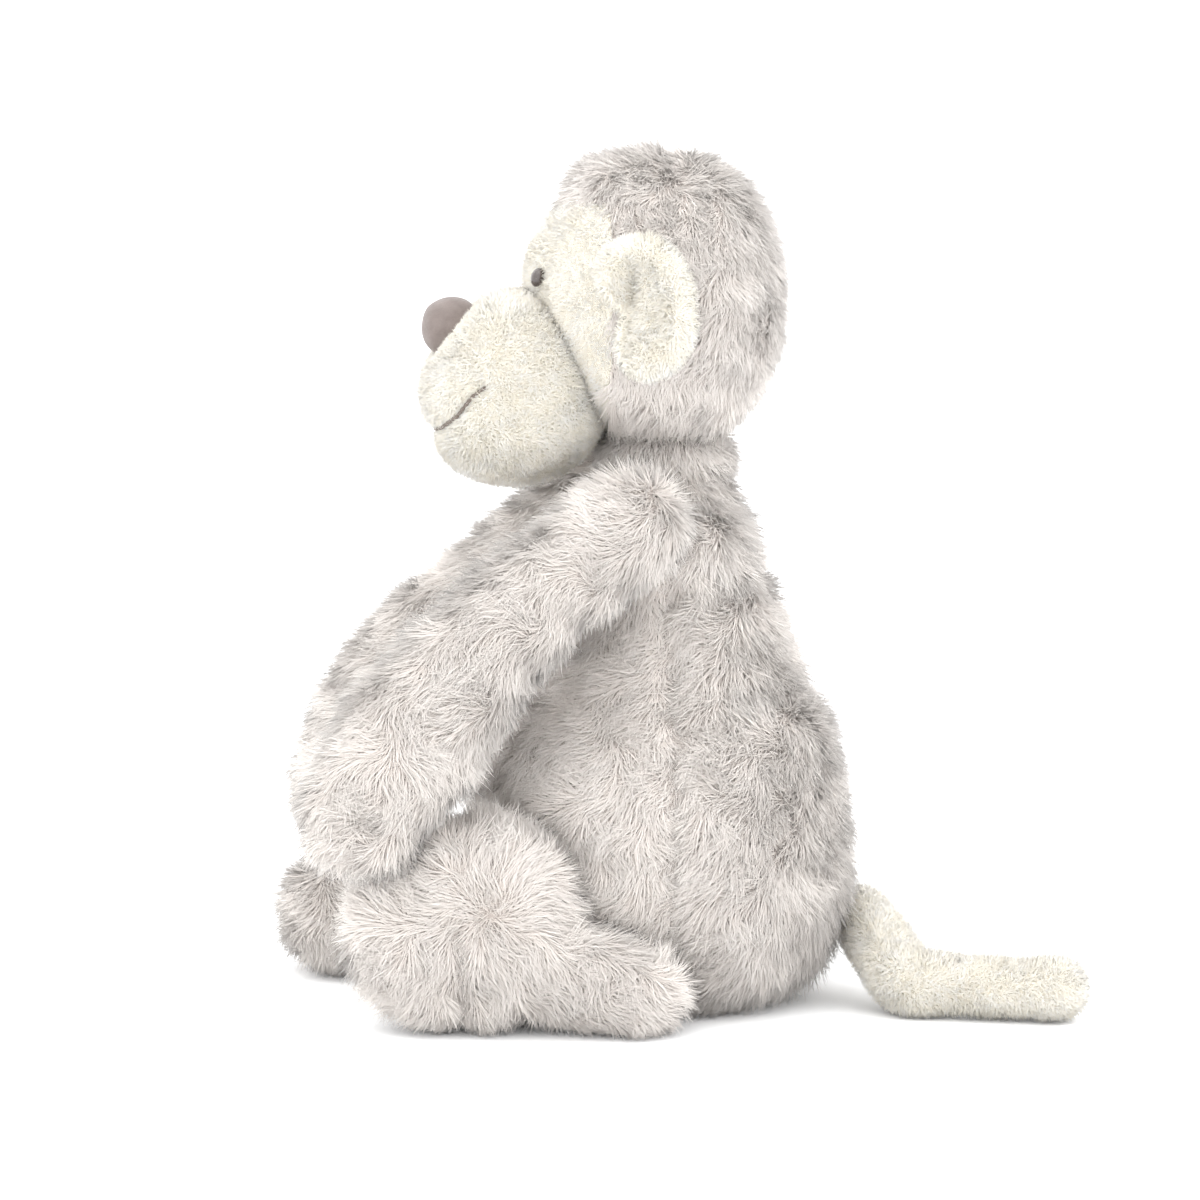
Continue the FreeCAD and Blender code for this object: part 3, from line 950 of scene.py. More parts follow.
class Skin:
    """A sewn skin: a closed mesh that can be pushed, grooved and combed.

    Attributes:
        swirl_reach: Turns a swirl of 1 into the angle at the noise's peaks.
        whorl_width: How far from a whorl the pile lies fully.
        whorl_least: How much it still lies at the whorl itself.
    """

    swirl_reach = 2.4
    whorl_width = 9.0
    whorl_least = 0.1

    def __init__(self, name: str, mesh: bpy.types.Mesh) -> None:
        """Starts from a closed mesh, in metres."""
        self.name = name
        self.mesh = mesh

    @classmethod
    def union(cls, name: str, meshes: list[bpy.types.Mesh], voxel: float, rounds: int) -> "Skin":
        """Grows several overlapping meshes into one soft skin.

        Args:
            name: The skin's name.
            meshes: The closed meshes.
            voxel: The size of the remeshed faces.
            rounds: How often it is smoothed.

        Returns:
            The skin.
        """
        shape = bmesh.new()
        for mesh in meshes:
            shape.from_mesh(mesh)
        whole = bpy.data.meshes.new(name)
        shape.to_mesh(whole)
        shape.free()
        piece = new_piece(f"{name}_making", whole)
        melt = piece.modifiers.new("melt", "REMESH")
        melt.mode, melt.voxel_size = "VOXEL", voxel * MM
        soften = piece.modifiers.new("soften", "SMOOTH")
        soften.factor, soften.iterations = 0.5, rounds
        mesh = evaluated(piece)
        bpy.data.objects.remove(piece)
        turn_out(mesh)
        return cls(name, mesh)

    @property
    def points(self) -> Array:
        """The vertices, in millimetres."""
        flat = np.empty(len(self.mesh.vertices) * 3)
        self.mesh.vertices.foreach_get("co", flat)
        return flat.reshape(-1, 3) / MM

    def set_points(self, points: Array) -> "Skin":
        """Puts the vertices at these places, in millimetres.

        Args:
            points: The places.

        Returns:
            The skin.
        """
        self.mesh.vertices.foreach_set("co", (points * MM).ravel())
        self.mesh.update()
        return self

    @property
    def normals(self) -> Array:
        """The vertex normals."""
        flat = np.empty(len(self.mesh.vertices) * 3)
        self.mesh.vertex_normals.foreach_get("vector", flat)
        return flat.reshape(-1, 3)

    def tree(self) -> BVHTree:
        """The skin's faces, for finding the nearest place on it."""
        return BVHTree.FromPolygons(
            [v.co for v in self.mesh.vertices], [tuple(p.vertices) for p in self.mesh.polygons]
        )

    def push(self, amount: Field) -> "Skin":
        """Moves each vertex along its normal by a field's number, in millimetres."""
        points, normals = self.points, self.normals
        return self.set_points(points + normals * amount(points, normals)[:, None])

    def above_floor(self, height: float) -> "Skin":
        """Presses what lies lower than a height flat against it.

        Args:
            height: The height, in millimetres.

        Returns:
            The skin.
        """
        points = self.points
        points[:, 2] = np.maximum(points[:, 2], height)
        return self.set_points(points)

    def comb(
        self,
        direction: Field,
        length: Field | None = None,
        swirl: float = 0.35,
        whorl: Place | None = None,
    ) -> "Skin":
        """Stores which way the pile lies and how long it is.

        Args:
            direction: A vector for each vertex.
            length: A share of the pile's length for each vertex, or nothing for 1.
            swirl: How far noise turns the direction, in radians.
            whorl: A point round which the pile stands up, or nothing.

        Returns:
            The skin.
        """
        points, normals = self.points, self.normals
        lie = direction(points, normals)
        lie = unit(lie - normals * np.sum(lie * normals, axis=1, keepdims=True))
        noises = lumps(points, 12.0, 3.7) + 1.1 * lumps(points, 5.0, 9.1)
        angle = noises[:, None] * swirl * self.swirl_reach
        lie = lie * np.cos(angle) + np.cross(normals, lie) * np.sin(angle)
        if whorl is not None:
            away = np.linalg.norm(points - np.array(whorl), axis=1)
            lie *= np.clip(away / self.whorl_width + self.whorl_least, 0, 1)[:, None]
        share = np.ones(len(points)) if length is None else length(points, normals)
        made = self.mesh.attributes.new("comb", "FLOAT_VECTOR", "POINT")
        made.data.foreach_set("vector", lie.astype(np.float32).ravel())
        made = self.mesh.attributes.new("pile", "FLOAT", "POINT")
        made.data.foreach_set("value", share.astype(np.float32))
        return self

    def part(self, name: str, keep: Test) -> bpy.types.Mesh:
        """A copy of the faces whose centres a test keeps.

        Args:
            name: The copy's name.
            keep: Says of each face centre, in millimetres, whether its face stays.

        Returns:
            The mesh.
        """
        centres = np.empty(len(self.mesh.polygons) * 3)
        self.mesh.polygons.foreach_get("center", centres)
        kept = keep(centres.reshape(-1, 3) / MM)
        shape = bmesh.new()
        shape.from_mesh(self.mesh)
        shape.faces.ensure_lookup_table()
        gone = [face for face, stays in zip(shape.faces, kept) if not stays]
        bmesh.ops.delete(shape, geom=gone, context="FACES")
        mesh = bpy.data.meshes.new(name)
        shape.to_mesh(mesh)
        shape.free()
        return mesh

    def piece(self, finish: Finish) -> bpy.types.Object:
        """The skin as a piece of its own, without the marks for the pile.

        Args:
            finish: The skin's finish.

        Returns:
            The piece.
        """
        mesh = self.mesh.copy()
        mesh.name = self.name
        for mark in ("comb", "pile"):
            if mark in mesh.attributes:
                mesh.attributes.remove(mesh.attributes[mark])
        mesh.materials.append(Finishes.of(finish))
        mesh.shade_smooth()
        return new_piece(self.name, mesh)


# ---------------------------------------------------------------- pile and stitches


@dataclass(frozen=True)
class Pile:
    """How one plush grows.

    Attributes:
        finish: What its strands are made of.
        density: Strands on a square millimetre.
        length: Length of a strand.
        width: Radius of a strand at its root.
        lean: How far a strand leans the way that the pile lies, from 0 to 1.
        clump: Size of the locks that tips gather into.
        pull: How strongly they gather.
        wave: How far locks sway.
        stray: How far single strands stray.
    """

    finish: PileFinish
    density: float
    length: float
    width: float
    lean: float
    clump: float
    pull: float
    wave: float
    stray: float


FUR = Pile(FUR_PILE, 3.7, 7.3, 0.19, 0.67, 3.0, 0.68, 2.0, 0.28)
WAVY_FUR = Pile(FUR_PILE, 3.7, 7.9, 0.19, 0.65, 3.8, 0.74, 2.6, 0.26)
SHORT_FUR = Pile(FUR_PILE, 4.0, 6.7, 0.18, 0.70, 3.0, 0.66, 1.8, 0.28)
PLUSH = Pile(CREAM_PILE, 6.0, 2.5, 0.21, 0.30, 1.3, 0.50, 0.35, 0.50)


class TreeMaker(Graph):
    """A Geometry Nodes tree with named inputs, which is grown on a mesh and made plain."""

    def __init__(self, name: str, inputs: dict[str, str]) -> None:
        """Makes the tree's sockets.

        Args:
            name: The tree's name.
            inputs: The socket type of each input, by its name.
        """
        super().__init__(bpy.data.node_groups.new(name, "GeometryNodeTree"))
        face = self.tree.interface
        face.new_socket(name="Geometry", in_out="OUTPUT", socket_type="NodeSocketGeometry")
        face.new_socket(name="Geometry", in_out="INPUT", socket_type="NodeSocketGeometry")
        self.keys = {
            key: face.new_socket(name=key, in_out="INPUT", socket_type=kind).identifier
            for key, kind in inputs.items()
        }
        self.entry = self.tree.nodes.new("NodeGroupInput")

    def given(self, name: str) -> Term:
        """One of the tree's inputs."""
        return Term(self, self.entry.outputs[name])

    def close(self, last: Term) -> None:
        """Realizes what was made, dresses it and ends the tree.

        Args:
            last: The geometry that was made.
        """
        real = self.term("GeometryNodeRealizeInstances", None, {"Geometry": last})
        dressed = self.term(
            "GeometryNodeSetMaterial", None, {"Geometry": real, "Material": self.given("Material")}
        )
        self.add("NodeGroupOutput", None, {"Geometry": dressed})

    def grow(self, name: str, mesh: bpy.types.Mesh, values: dict[str, Any]) -> bpy.types.Object:
        """Runs the tree on a mesh.

        Args:
            name: The piece's name.
            mesh: What the tree starts from.
            values: Its inputs, by name.

        Returns:
            The finished piece, a plain mesh.
        """
        piece = new_piece(name, mesh)
        modifier = piece.modifiers.new(self.tree.name, "NODES")
        modifier.node_group = self.tree
        for key, value in values.items():
            modifier[self.keys[key]] = value
        bake_down(piece)
        if "stand" in piece.data.attributes:
            soften_shade(piece.data, "stand", CLOTH_SHARE)
        for mark in ("root", "stand", "comb", "pile"):
            if mark in piece.data.attributes:
                piece.data.attributes.remove(piece.data.attributes[mark])
        return piece


class PileTree(TreeMaker):
    """Grows strands on a skin: scattered, combed, gathered into locks and kept above the floor."""

    def __init__(self) -> None:
        """Builds the tree."""
        numbers = ("Density", "Length", "Width", "Lean", "Clump", "Pull", "Wave", "Stray", "Floor")
        kinds = dict.fromkeys(numbers, "NodeSocketFloat")
        super().__init__(
            "pile",
            kinds | {"Seed": "NodeSocketInt", "Material": "NodeSocketMaterial"},
        )
        spread = self.add(
            "GeometryNodeDistributePointsOnFaces",
            {"distribute_method": "RANDOM"},
            {
                "Mesh": self.entry.outputs["Geometry"],
                "Density": self.given("Density"),
                "Seed": self.given("Seed"),
            },
        )
        stand = Term(self, spread.outputs["Normal"], True)
        lie = self.mark_of("comb", "FLOAT_VECTOR", True)
        points = Term(self, spread.outputs["Points"])
        points = self.keep(points, "root", self.spot(), "FLOAT_VECTOR")
        points = self.keep(points, "stand", stand, "FLOAT_VECTOR")
        points = self.keep(points, "tone", self.chance(11, 0.0, 1.0), "FLOAT")
        lean = self.given("Lean")
        stray = self.add(
            "FunctionNodeRandomValue",
            {"data_type": "FLOAT_VECTOR"},
            {"Min": (-1.0, -1.0, -1.0), "Max": (1.0, 1.0, 1.0), "Seed": 23},
        )
        sway = Term(self, self.pick(stray.outputs, "Value"), True) * self.given("Stray")
        heading = (stand * (1 - lean) + lie * lean + sway).unit()
        upright = self.add(
            "FunctionNodeAlignRotationToVector", {"axis": "Z"}, {"Vector": heading}
        )
        turned = self.add(
            "FunctionNodeAlignRotationToVector",
            {"axis": "X", "pivot_axis": "Z"},
            {"Rotation": upright.outputs[0], "Vector": lie},
        )
        long = self.given("Length") * self.mark_of("pile", "FLOAT") * self.chance(5, 0.72, 1.15)
        wide = self.given("Width") * self.chance(7, 0.75, 1.2)
        size = self.add("ShaderNodeCombineXYZ", None, {"X": wide, "Y": wide, "Z": long})
        strands = self.term(
            "GeometryNodeInstanceOnPoints",
            None,
            {
                "Points": points,
                "Instance": self.strand(),
                "Rotation": turned.outputs[0],
                "Scale": size.outputs[0],
            },
        )
        real = self.term("GeometryNodeRealizeInstances", None, {"Geometry": strands})
        self.close(self.gather(real))

    def mark_of(self, name: str, kind: str, wide: bool = False) -> Term:
        """Reads a named attribute."""
        settings, feeds = {"data_type": kind}, {"Name": name}
        return self.term("GeometryNodeInputNamedAttribute", settings, feeds, 0, wide)

    def spot(self) -> Term:
        """Where each point is."""
        return self.term("GeometryNodeInputPosition", None, None, 0, True)

    def chance(self, seed: int, low: float, high: float) -> Term:
        """A random number for each point, the same on each run."""
        return self.term(
            "FunctionNodeRandomValue",
            {"data_type": "FLOAT"},
            {"Min": low, "Max": high, "Seed": seed},
            "Value",
        )

    def keep(self, shape: Term, name: str, value: Term, kind: str) -> Term:
        """Stores a value on each point under a name."""
        return self.term(
            "GeometryNodeStoreNamedAttribute",
            {"data_type": kind, "domain": "POINT"},
            {"Geometry": shape, "Name": name, "Value": value},
        )

    def split(self, arrow: Term) -> list[Term]:
        """The three numbers of a vector."""
        node = self.add("ShaderNodeSeparateXYZ", None, {0: arrow})
        return [Term(self, socket) for socket in node.outputs]

    def arrow(self, *parts: Term) -> Term:
        """A vector of three numbers."""
        return self.term("ShaderNodeCombineXYZ", None, dict(enumerate(parts)), 0, True)

    def strand(self) -> Term:
        """One strand, a unit high: a closed three-sided taper.

        Returns:
            Its mesh.
        """
        cone = self.add(
            "GeometryNodeMeshCone",
            {"fill_type": "NGON"},
            {
                "Vertices": 3,
                "Side Segments": 1,
                "Radius Top": 0.0,
                "Radius Bottom": 1.0,
                "Depth": 1.0,
            },
        )
        soft = self.term("GeometryNodeSetShadeSmooth", None, {0: cone.outputs["Mesh"]})
        return self.keep(soft, "along", self.split(self.spot())[2], "FLOAT")

    def gather(self, strands: Term) -> Term:
        """Draws the tips into locks, sways them, and keeps them off the floor.

        Args:
            strands: The strands, each with its root and the direction away from the cloth.

        Returns:
            The strands in their locks.
        """
        root = self.mark_of("root", "FLOAT_VECTOR", True)
        stand = self.mark_of("stand", "FLOAT_VECTOR", True)
        rise = self.mark_of("along", "FLOAT")
        cells = self.term(
            "ShaderNodeTexVoronoi",
            {"voronoi_dimensions": "3D", "feature": "F1"},
            {"Vector": root, "Scale": 1 / self.given("Clump")},
            "Position",
            True,
        )
        gap = cells - root
        flat = gap - stand * gap.dot(stand)
        swing = self.term(
            "ShaderNodeTexNoise",
            {"noise_dimensions": "3D"},
            {"Vector": root, "Scale": 0.8 / self.given("Clump"), "Detail": 2.0},
            "Color",
            True,
        )
        sway = (swing - (0.5, 0.5, 0.5)) * (self.given("Wave") * rise * 2)
        moved = self.spot() + flat * (self.given("Pull") * rise**1.6) + sway
        x, y, z = self.split(moved)
        place = self.arrow(x, y, z.most(self.given("Floor")))
        return self.term("GeometryNodeSetPosition", None, {"Geometry": strands, "Position": place})

    def plant(self, name: str, mesh: bpy.types.Mesh, pile: Pile, seed: int) -> bpy.types.Object:
        """Grows a pile on a mesh.

        Args:
            name: The piece's name.
            mesh: The skin or the panel of it.
            pile: The pile.
            seed: Fixes where the strands stand.

        Returns:
            The piece.
        """
        return self.grow(
            name,
            mesh,
            {
                "Density": pile.density / MM**2,
                "Length": pile.length * MM,
                "Width": pile.width * MM,
                "Lean": pile.lean,
                "Clump": pile.clump * MM,
                "Pull": pile.pull,
                "Wave": pile.wave * MM,
                "Stray": pile.stray,
                "Floor": FLOOR_GAP * MM,
                "Seed": seed,
                "Material": Finishes.of(pile.finish),
            },
        )


class StitchTree(TreeMaker):
    """Lays rounded stitches end to end along a line of points."""

    def __init__(self) -> None:
        """Builds the tree."""
        kinds = dict.fromkeys(("Pitch", "Length", "Radius"), "NodeSocketFloat")
        super().__init__("stitches", kinds | {"Material": "NodeSocketMaterial"})
        line = self.term("GeometryNodeMeshToCurve", None, {"Mesh": self.entry.outputs["Geometry"]})
        points = self.add(
            "GeometryNodeCurveToPoints",
            {"mode": "LENGTH"},
            {"Curve": line, "Length": self.given("Pitch")},
        )
        ahead = self.add(
            "FunctionNodeAlignRotationToVector",
            {"axis": "Z"},
            {"Vector": points.outputs["Tangent"]},
        )
        bead = self.add(
            "GeometryNodeMeshUVSphere", None, {"Segments": 8, "Rings": 6, "Radius": 0.5}
        )
        soft = self.term("GeometryNodeSetShadeSmooth", None, {0: bead.outputs["Mesh"]})
        wide = self.given("Radius") * 2
        long = self.given("Length")
        size = self.add("ShaderNodeCombineXYZ", None, {"X": wide, "Y": wide, "Z": long})
        self.close(
            self.term(
                "GeometryNodeInstanceOnPoints",
                None,
                {
                    "Points": points.outputs["Points"],
                    "Instance": soft,
                    "Rotation": ahead.outputs[0],
                    "Scale": size.outputs[0],
                },
            )
        )


# ---------------------------------------------------------------- the monkey's parts


def enlist(
    piece: bpy.types.Object,
    body: str,
    stands_for: tuple[str, ...] = (),
) -> bpy.types.Object:
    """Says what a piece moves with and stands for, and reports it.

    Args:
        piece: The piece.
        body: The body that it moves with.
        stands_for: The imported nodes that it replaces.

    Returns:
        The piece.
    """
    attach(piece, body)
    if stands_for:
        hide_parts(*stands_for)
    LOG.info("%s: %d faces", piece.name, len(piece.data.polygons))
    return piece


@dataclass
class SoftPart:
    """One sewn part of the monkey, with the tree that grows its pile."""

    tree: PileTree

    def sew(
        self,
        skin: Skin,
        cloth: Finish,
        body: str,
        stands_for: tuple[str, ...] = (),
        fill: float = SKIN_FILL,
    ) -> bpy.types.Object:
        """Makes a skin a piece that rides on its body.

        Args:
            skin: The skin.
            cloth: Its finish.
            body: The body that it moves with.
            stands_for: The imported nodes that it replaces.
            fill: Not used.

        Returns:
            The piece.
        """
        return enlist(skin.piece(cloth), body, stands_for)

    def cover(
        self,
        name: str,
        mesh: bpy.types.Mesh,
        pile: Pile,
        body: str,
        stands_for: tuple[str, ...] = (),
    ) -> bpy.types.Object:
        """Grows the pile of a skin or a panel, as a piece that rides on its body.

        Args:
            name: The piece's name, which also fixes its seed.
            mesh: The skin's or panel's mesh.
            pile: The pile.
            body: The body that it moves with.
            stands_for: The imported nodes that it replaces.

        Returns:
            The piece.
        """
        piece = self.tree.plant(name, mesh, pile, sum(map(ord, name)))
        return enlist(piece, body, stands_for)


@dataclass
class Torso(SoftPart):
    """The pear-shaped torso, in a front panel, two back panels and a seat."""

    heights: tuple[float, ...] = (
        0.7, 0.9, 2.0, 6.0, 11, 16, 21, 26, 31, 36,
        41, 46, 51, 56, 61, 66, 71, 76, 81, 86,
        91, 96, 101, 106, 111, 116, 121, 126, 131, 135,
    )
    radii: tuple[float, ...] = (
        12.0, 19.5, 24.0, 30.2, 35.8, 38.6, 40.7, 42.0, 42.8, 43.1,
        42.8, 42.2, 41.4, 40.5, 39.6, 38.8, 37.6, 34.8, 31.6, 29.2,
        26.9, 24.9, 23.0, 21.5, 20.2, 18.6, 16.6, 14.4, 12.8, 11.6,
    )
    back_seam: float = math.radians(76)
    seat_radius: float = 17.0
    fill_heights: tuple[float, ...] = (0.0, 45.0, 81.0, 134.0)
    fill_radii: tuple[float, ...] = (0.0, 39.0, 29.0, 11.6)
    around: int = 120
    along: int = 96
    belly: Ridge = Ridge(0.18, 58, 20)
    shoulders: Ridge = Ridge(10.0, 119, 10)
    side_groove: Ridge = Ridge(2.4, -1, 2.6)
    back_groove: Ridge = Ridge(1.8, 0, 2.6)
    waist_fold: Ridge = Ridge(0.9, 82, 4.0)
    side_ledge: Ridge = Ridge(0.5, -3.2, 2.6)
    foot_of_skin: float = 0.7
    top_of_skin: float = 137.5

    def skin(self) -> Skin:
        """The whole skin with its seams drawn in.

        Returns:
            The skin.
        """
        curve = smooth_line(np.column_stack([self.heights, self.radii]), self.along)
        turn = np.linspace(0, 2 * np.pi, self.around, endpoint=False)
        height, radius = curve[:, 0][:, None], curve[:, 1][:, None]
        front = 0.5 - 0.5 * np.sin(turn)[None]
        radius = radius * (1 + self.belly.at(height) * front)
        radius = radius + self.shoulders.at(height) * np.cos(turn)[None] ** 4
        rings = np.stack(
            [radius * np.cos(turn), radius * np.sin(turn), height + 0 * radius], axis=-1
        )
        poles = np.array([[0, 0, self.foot_of_skin], [0, 0, self.top_of_skin]])
        made = Skin("torso_skin", ring_mesh("torso_skin", rings, poles)).push(self.relief)
        points = made.points
        reach = np.hypot(points[:, 0], points[:, 1])
        least = np.interp(points[:, 2], self.fill_heights, self.fill_radii) * (points[:, 2] > 60)
        points[:, :2] *= (np.maximum(reach, least) / np.maximum(reach, 1e-6))[:, None]
        return made.set_points(points)

    def relief(self, points: Array, normals: Array) -> Array:
        """Seam grooves and soft lumps, none where the torso rests.

        Args:
            points: Places on the skin, in millimetres.
            normals: The directions away from it there.

        Returns:
            How far each point moves out, in millimetres.
        """
        x, y, z = points.T
        angle = np.arctan2(y, x)
        out = np.hypot(x, y)
        sides = self.side_groove.at(y) * (z > 4)
        back = self.back_groove.at((angle - self.back_seam) * out) * (y > 0)
        fold = self.waist_fold.at(z + 0.12 * y) * (y > 0)
        soft = 1.5 * lumps(points, 17.0, 1.3) + 0.7 * lumps(points, 7.0, 5.2)
        return (soft - sides - back - fold) * ramp(z, 2, 10)

    def lie(self, points: Array, normals: Array) -> Array:
        """Down all over, towards the side seams on the back and forwards on the front.

        Args:
            points: Places on the skin, in millimetres.
            normals: The directions away from it there.

        Returns:
            A direction for each point.
        """
        x, y, z = points.T
        down = np.tile([0.0, 0.0, -1.0], (len(points), 1))
        forward = np.tile([0.0, -1.0, 0.0], (len(points), 1))
        share = np.where(y > 0, 0.95 * ramp(-z, -125, -65), 0.45)[:, None]
        flat = np.column_stack([x, y, 0 * z])
        return np.where((z < 2)[:, None], flat, down * 0.8 + forward * share)

    def build(self) -> None:
        """Makes the skin and the pile of its four panels."""
        skin = self.skin().comb(self.lie, self.long, 0.75)
        self.sew(skin, FUR_CLOTH, "torso")
        panels: dict[str, Test] = {
            "seat_panel": self.on_seat,
            "torso_front_panel": lambda c: ~self.on_seat(c) & ~self.on_back(c),
            "torso_back_left_panel": lambda c: self.on_back(c) & self.on_left(c),
            "torso_back_right_panel": lambda c: self.on_back(c) & ~self.on_left(c),
        }
        for node, test in panels.items():
            name = node.replace("_panel", "_pile")
            pile = WAVY_FUR if "back" in name else FUR
            self.cover(name, skin.part(name, test), pile, "torso", (node,))

    def long(self, points: Array, normals: Array) -> Array:
        """Shorter pile under the seat and on the smoother front panel.

        Args:
            points: Places on the skin, in millimetres.
            normals: The directions away from it there.

        Returns:
            A share of the pile's length for each point.
        """
        x, y, z = points.T
        share = np.where(y > 0, 1.05, 0.88) * (1 + 0.18 * lumps(points, 12.0, 8.8))
        ledge = self.side_ledge.at(y) * (np.abs(x) > 12)
        return np.where(z < 2, 0.35, share - ledge)

    def on_seat(self, centres: Array) -> Array:
        """Which faces belong to the seat panel."""
        return (np.hypot(centres[:, 0], centres[:, 1]) < self.seat_radius) & (centres[:, 2] < 5)

    def on_back(self, centres: Array) -> Array:
        """Which faces belong to the two back panels."""
        return ~self.on_seat(centres) & (centres[:, 1] > 0)

    def on_left(self, centres: Array) -> Array:
        """Which faces lie on the left of the back seam."""
        return np.arctan2(centres[:, 1], centres[:, 0]) < self.back_seam


@dataclass
class Neck(SoftPart):
    """A furred collar round the neck's plug, which fills the gap at any turn of the head."""

    centre: Place = (0.0, -1.5, 137.0)
    reach: float = 15.0
    depth: float = 8.5
    edge: float = 7.0
    pile_top: float = 143.0

    def lie(self, points: Array, normals: Array) -> Array:
        """Down all round, and a little off the collar."""
        return np.tile([0.0, 0.1, -1.0], (len(points), 1)) + 0.6 * normals

    def build(self) -> None:
        """Makes the collar."""
        centre = np.array(self.centre)
        mesh = oval_mesh("neck_collar", centre, 2, self.reach, self.depth, self.edge, 72, 40)
        skin = Skin("neck_collar", mesh)
        skin.comb(self.lie)
        self.sew(skin, FUR_CLOTH, "neck")
        part = skin.part("neck_collar_pile", lambda c: c[:, 2] < self.pile_top)
        self.cover("neck_collar_pile", part, SHORT_FUR, "neck")


@dataclass
class Head(SoftPart):
    """The head: two hair panels, a cream face, a stuffed muzzle with its mouth, and the nose."""

    centre: Place = (0.0, -4.0, 177.0)
    reach: float = 35.7
    depth: float = 28.5
    edge: float = 23.0
    face_y: float = -17.0
    face_top: float = 200.0
    crown: Place = (0.0, 4.0, 214.0)
    eye: Place = (10.0, -33.0, 182.5)
    muzzle: Place = (0.0, -40.0, 154.3)
    muzzle_half_width: float = 24.6
    muzzle_fullness: float = 0.64
    muzzle_turns: tuple[float, ...] = (
        -180, -148, -116, -83, -48, -31, -18, 0, 22, 45, 67, 95, 130, 180,
    )
    muzzle_radii: tuple[float, ...] = (
        22, 23.3, 23.0, 22.8, 22.9, 21.6, 21.7, 21.6, 21.3, 21.8, 22.4, 23.4, 22.6, 22,
    )
    nose: Place = (0.0, -55.3, 169.6)
    nose_size: Place = (9.6, 7.2, 7.8)
    nose_tilt: float = math.radians(43)
    mouth_half_width: float = 23.9
    mouth_depths: tuple[float, ...] = (-64.0, -61.0, -57.4, -54.6, -49.4)
    mouth_heights: tuple[float, ...] = (141.3, 142.1, 146.0, 148.8, 155.8)
    nape: Ridge = Ridge(2.6, 151, 9)
    parting: Ridge = Ridge(1.4, -3, 2.4)
    back_groove: Ridge = Ridge(1.2, 0, 2.2)
    eye_dimple: Ridge = Ridge(1.0, 0, 3.0)
    face_band: Ridge = Ridge(1.0, 185, 11)
    bridge: Ridge = Ridge(2.4, 0, 9)
    cheeks: Ridge = Ridge(1.4, 0, 24)
    brow: Ridge = Ridge(2.2, 205.5, 4.5)
    crown_swell: Ridge = Ridge(1.6, 203, 8)
    back_swell: float = 1.3
    brow_trim: Ridge = Ridge(0.25, 201, 4)
    muzzle_seat: float = 20.5
    muzzle_back: float = -18.0
    mouth_groove: Ridge = Ridge(1.5, 0, 2.2)
    mouth_trim: Ridge = Ridge(0.7, 0, 1.5)
    mouth_reach: float = 34.0
    mouth_lift: float = 1.2
    stitch_pitch: float = 1.5
    stitch_length: float = 2.1
    stitch_radius: float = 0.5
    mouth: Array = field(default_factory=lambda: np.zeros((0, 3)))

    def form(self) -> Skin:
        """The head's whole form, before it is divided.

        Returns:
            The skin.
        """
        centre = np.array(self.centre)
        mesh = oval_mesh("head_skin", centre, 1, self.reach, self.depth, self.edge, 128, 96)
        return Skin("head_skin", mesh).push(self.relief)

    def relief(self, points: Array, normals: Array) -> Array:
        """A fuller nape, the parting behind the brow, the back seam and the eyes' dimples.

        Args:
            points: Places on the skin, in millimetres.
            normals: The directions away from it there.

        Returns:
            How far each point moves out, in millimetres.
        """
        x, y, z = points.T
        nape = self.nape.at(z) * ramp(y, 0, 14)
        parting = self.parting.at(y - 0.12 * (z - 195)) * ramp(z, 184, 192)
        seam = self.back_groove.at(x) * (y > 0)
        beside = np.hypot(np.abs(x) - self.eye[0], z - self.eye[2])
        eyes = self.eye_dimple.at(beside) * (y < -20)
        face = (y < self.face_y) * self.face_band.at(z)
        full = face * (self.bridge.at(x) + self.cheeks.at(x)) - eyes
        brow = self.brow.at(z) * ramp(-y, 8, 16)
        crown = self.crown_swell.at(z) * ramp(y, 6, 16)
        back = self.back_swell * ramp(y, 4, 18) * ramp(z, 152, 164)
        soft = 0.9 * lumps(points, 15.0, 2.2)
        return nape + full + brow + crown + back - parting - seam + soft

    def hair_lie(self, points: Array, normals: Array) -> Array:
        """Away from the crown.

        Args:
            points: Places on the skin, in millimetres.
            normals: The directions away from it there.

        Returns:
            A direction for each point.
        """
        away = points - np.array(self.crown)
        down = np.tile([0.0, 0.0, -1.0], (len(points), 1))
        brow = (points[:, 1] < -12) * (points[:, 2] > 198)
        return unit(away) + 0.35 * down * (1 - brow)[:, None]

    def hair_long(self, points: Array, normals: Array) -> Array:
        """A little trimmed over the brow.

        Args:
            points: Places on the skin, in millimetres.
            normals: The directions away from it there.

        Returns:
            A share of the pile's length for each point.
        """
        _, y, z = points.T
        brow = self.brow_trim.at(z) * (y < -12)
        return 1.0 - brow + 0.16 * lumps(points, 10.0, 6.1)

    def in_face(self, centres: Array) -> Array:
        """Which faces belong to the face panel."""
        return (centres[:, 1] < self.face_y) & (centres[:, 2] < self.face_top)

    def shows(self, centres: Array) -> Array:
        """Which faces of the face panel the muzzle leaves free."""
        away = np.linalg.norm(centres - np.array(self.muzzle), axis=1)
        return self.in_face(centres) & (away > self.muzzle_seat)

    def build_hair(self, form: Skin) -> None:
        """Makes the skin and the pile of the two hair panels.

        Args:
            form: The head's form.
        """
        form.comb(self.hair_lie, self.hair_long, 0.65)
        self.sew(form, FUR_CLOTH, "head")
        for side in Side:
            name = f"head_{side.word}_pile"
            sign = side.value
            panel = form.part(name, lambda c, s=sign: ~self.in_face(c) & (c[:, 0] * s >= 0))
            self.cover(name, panel, SHORT_FUR, "head", (f"head_{side.word}_panel",))

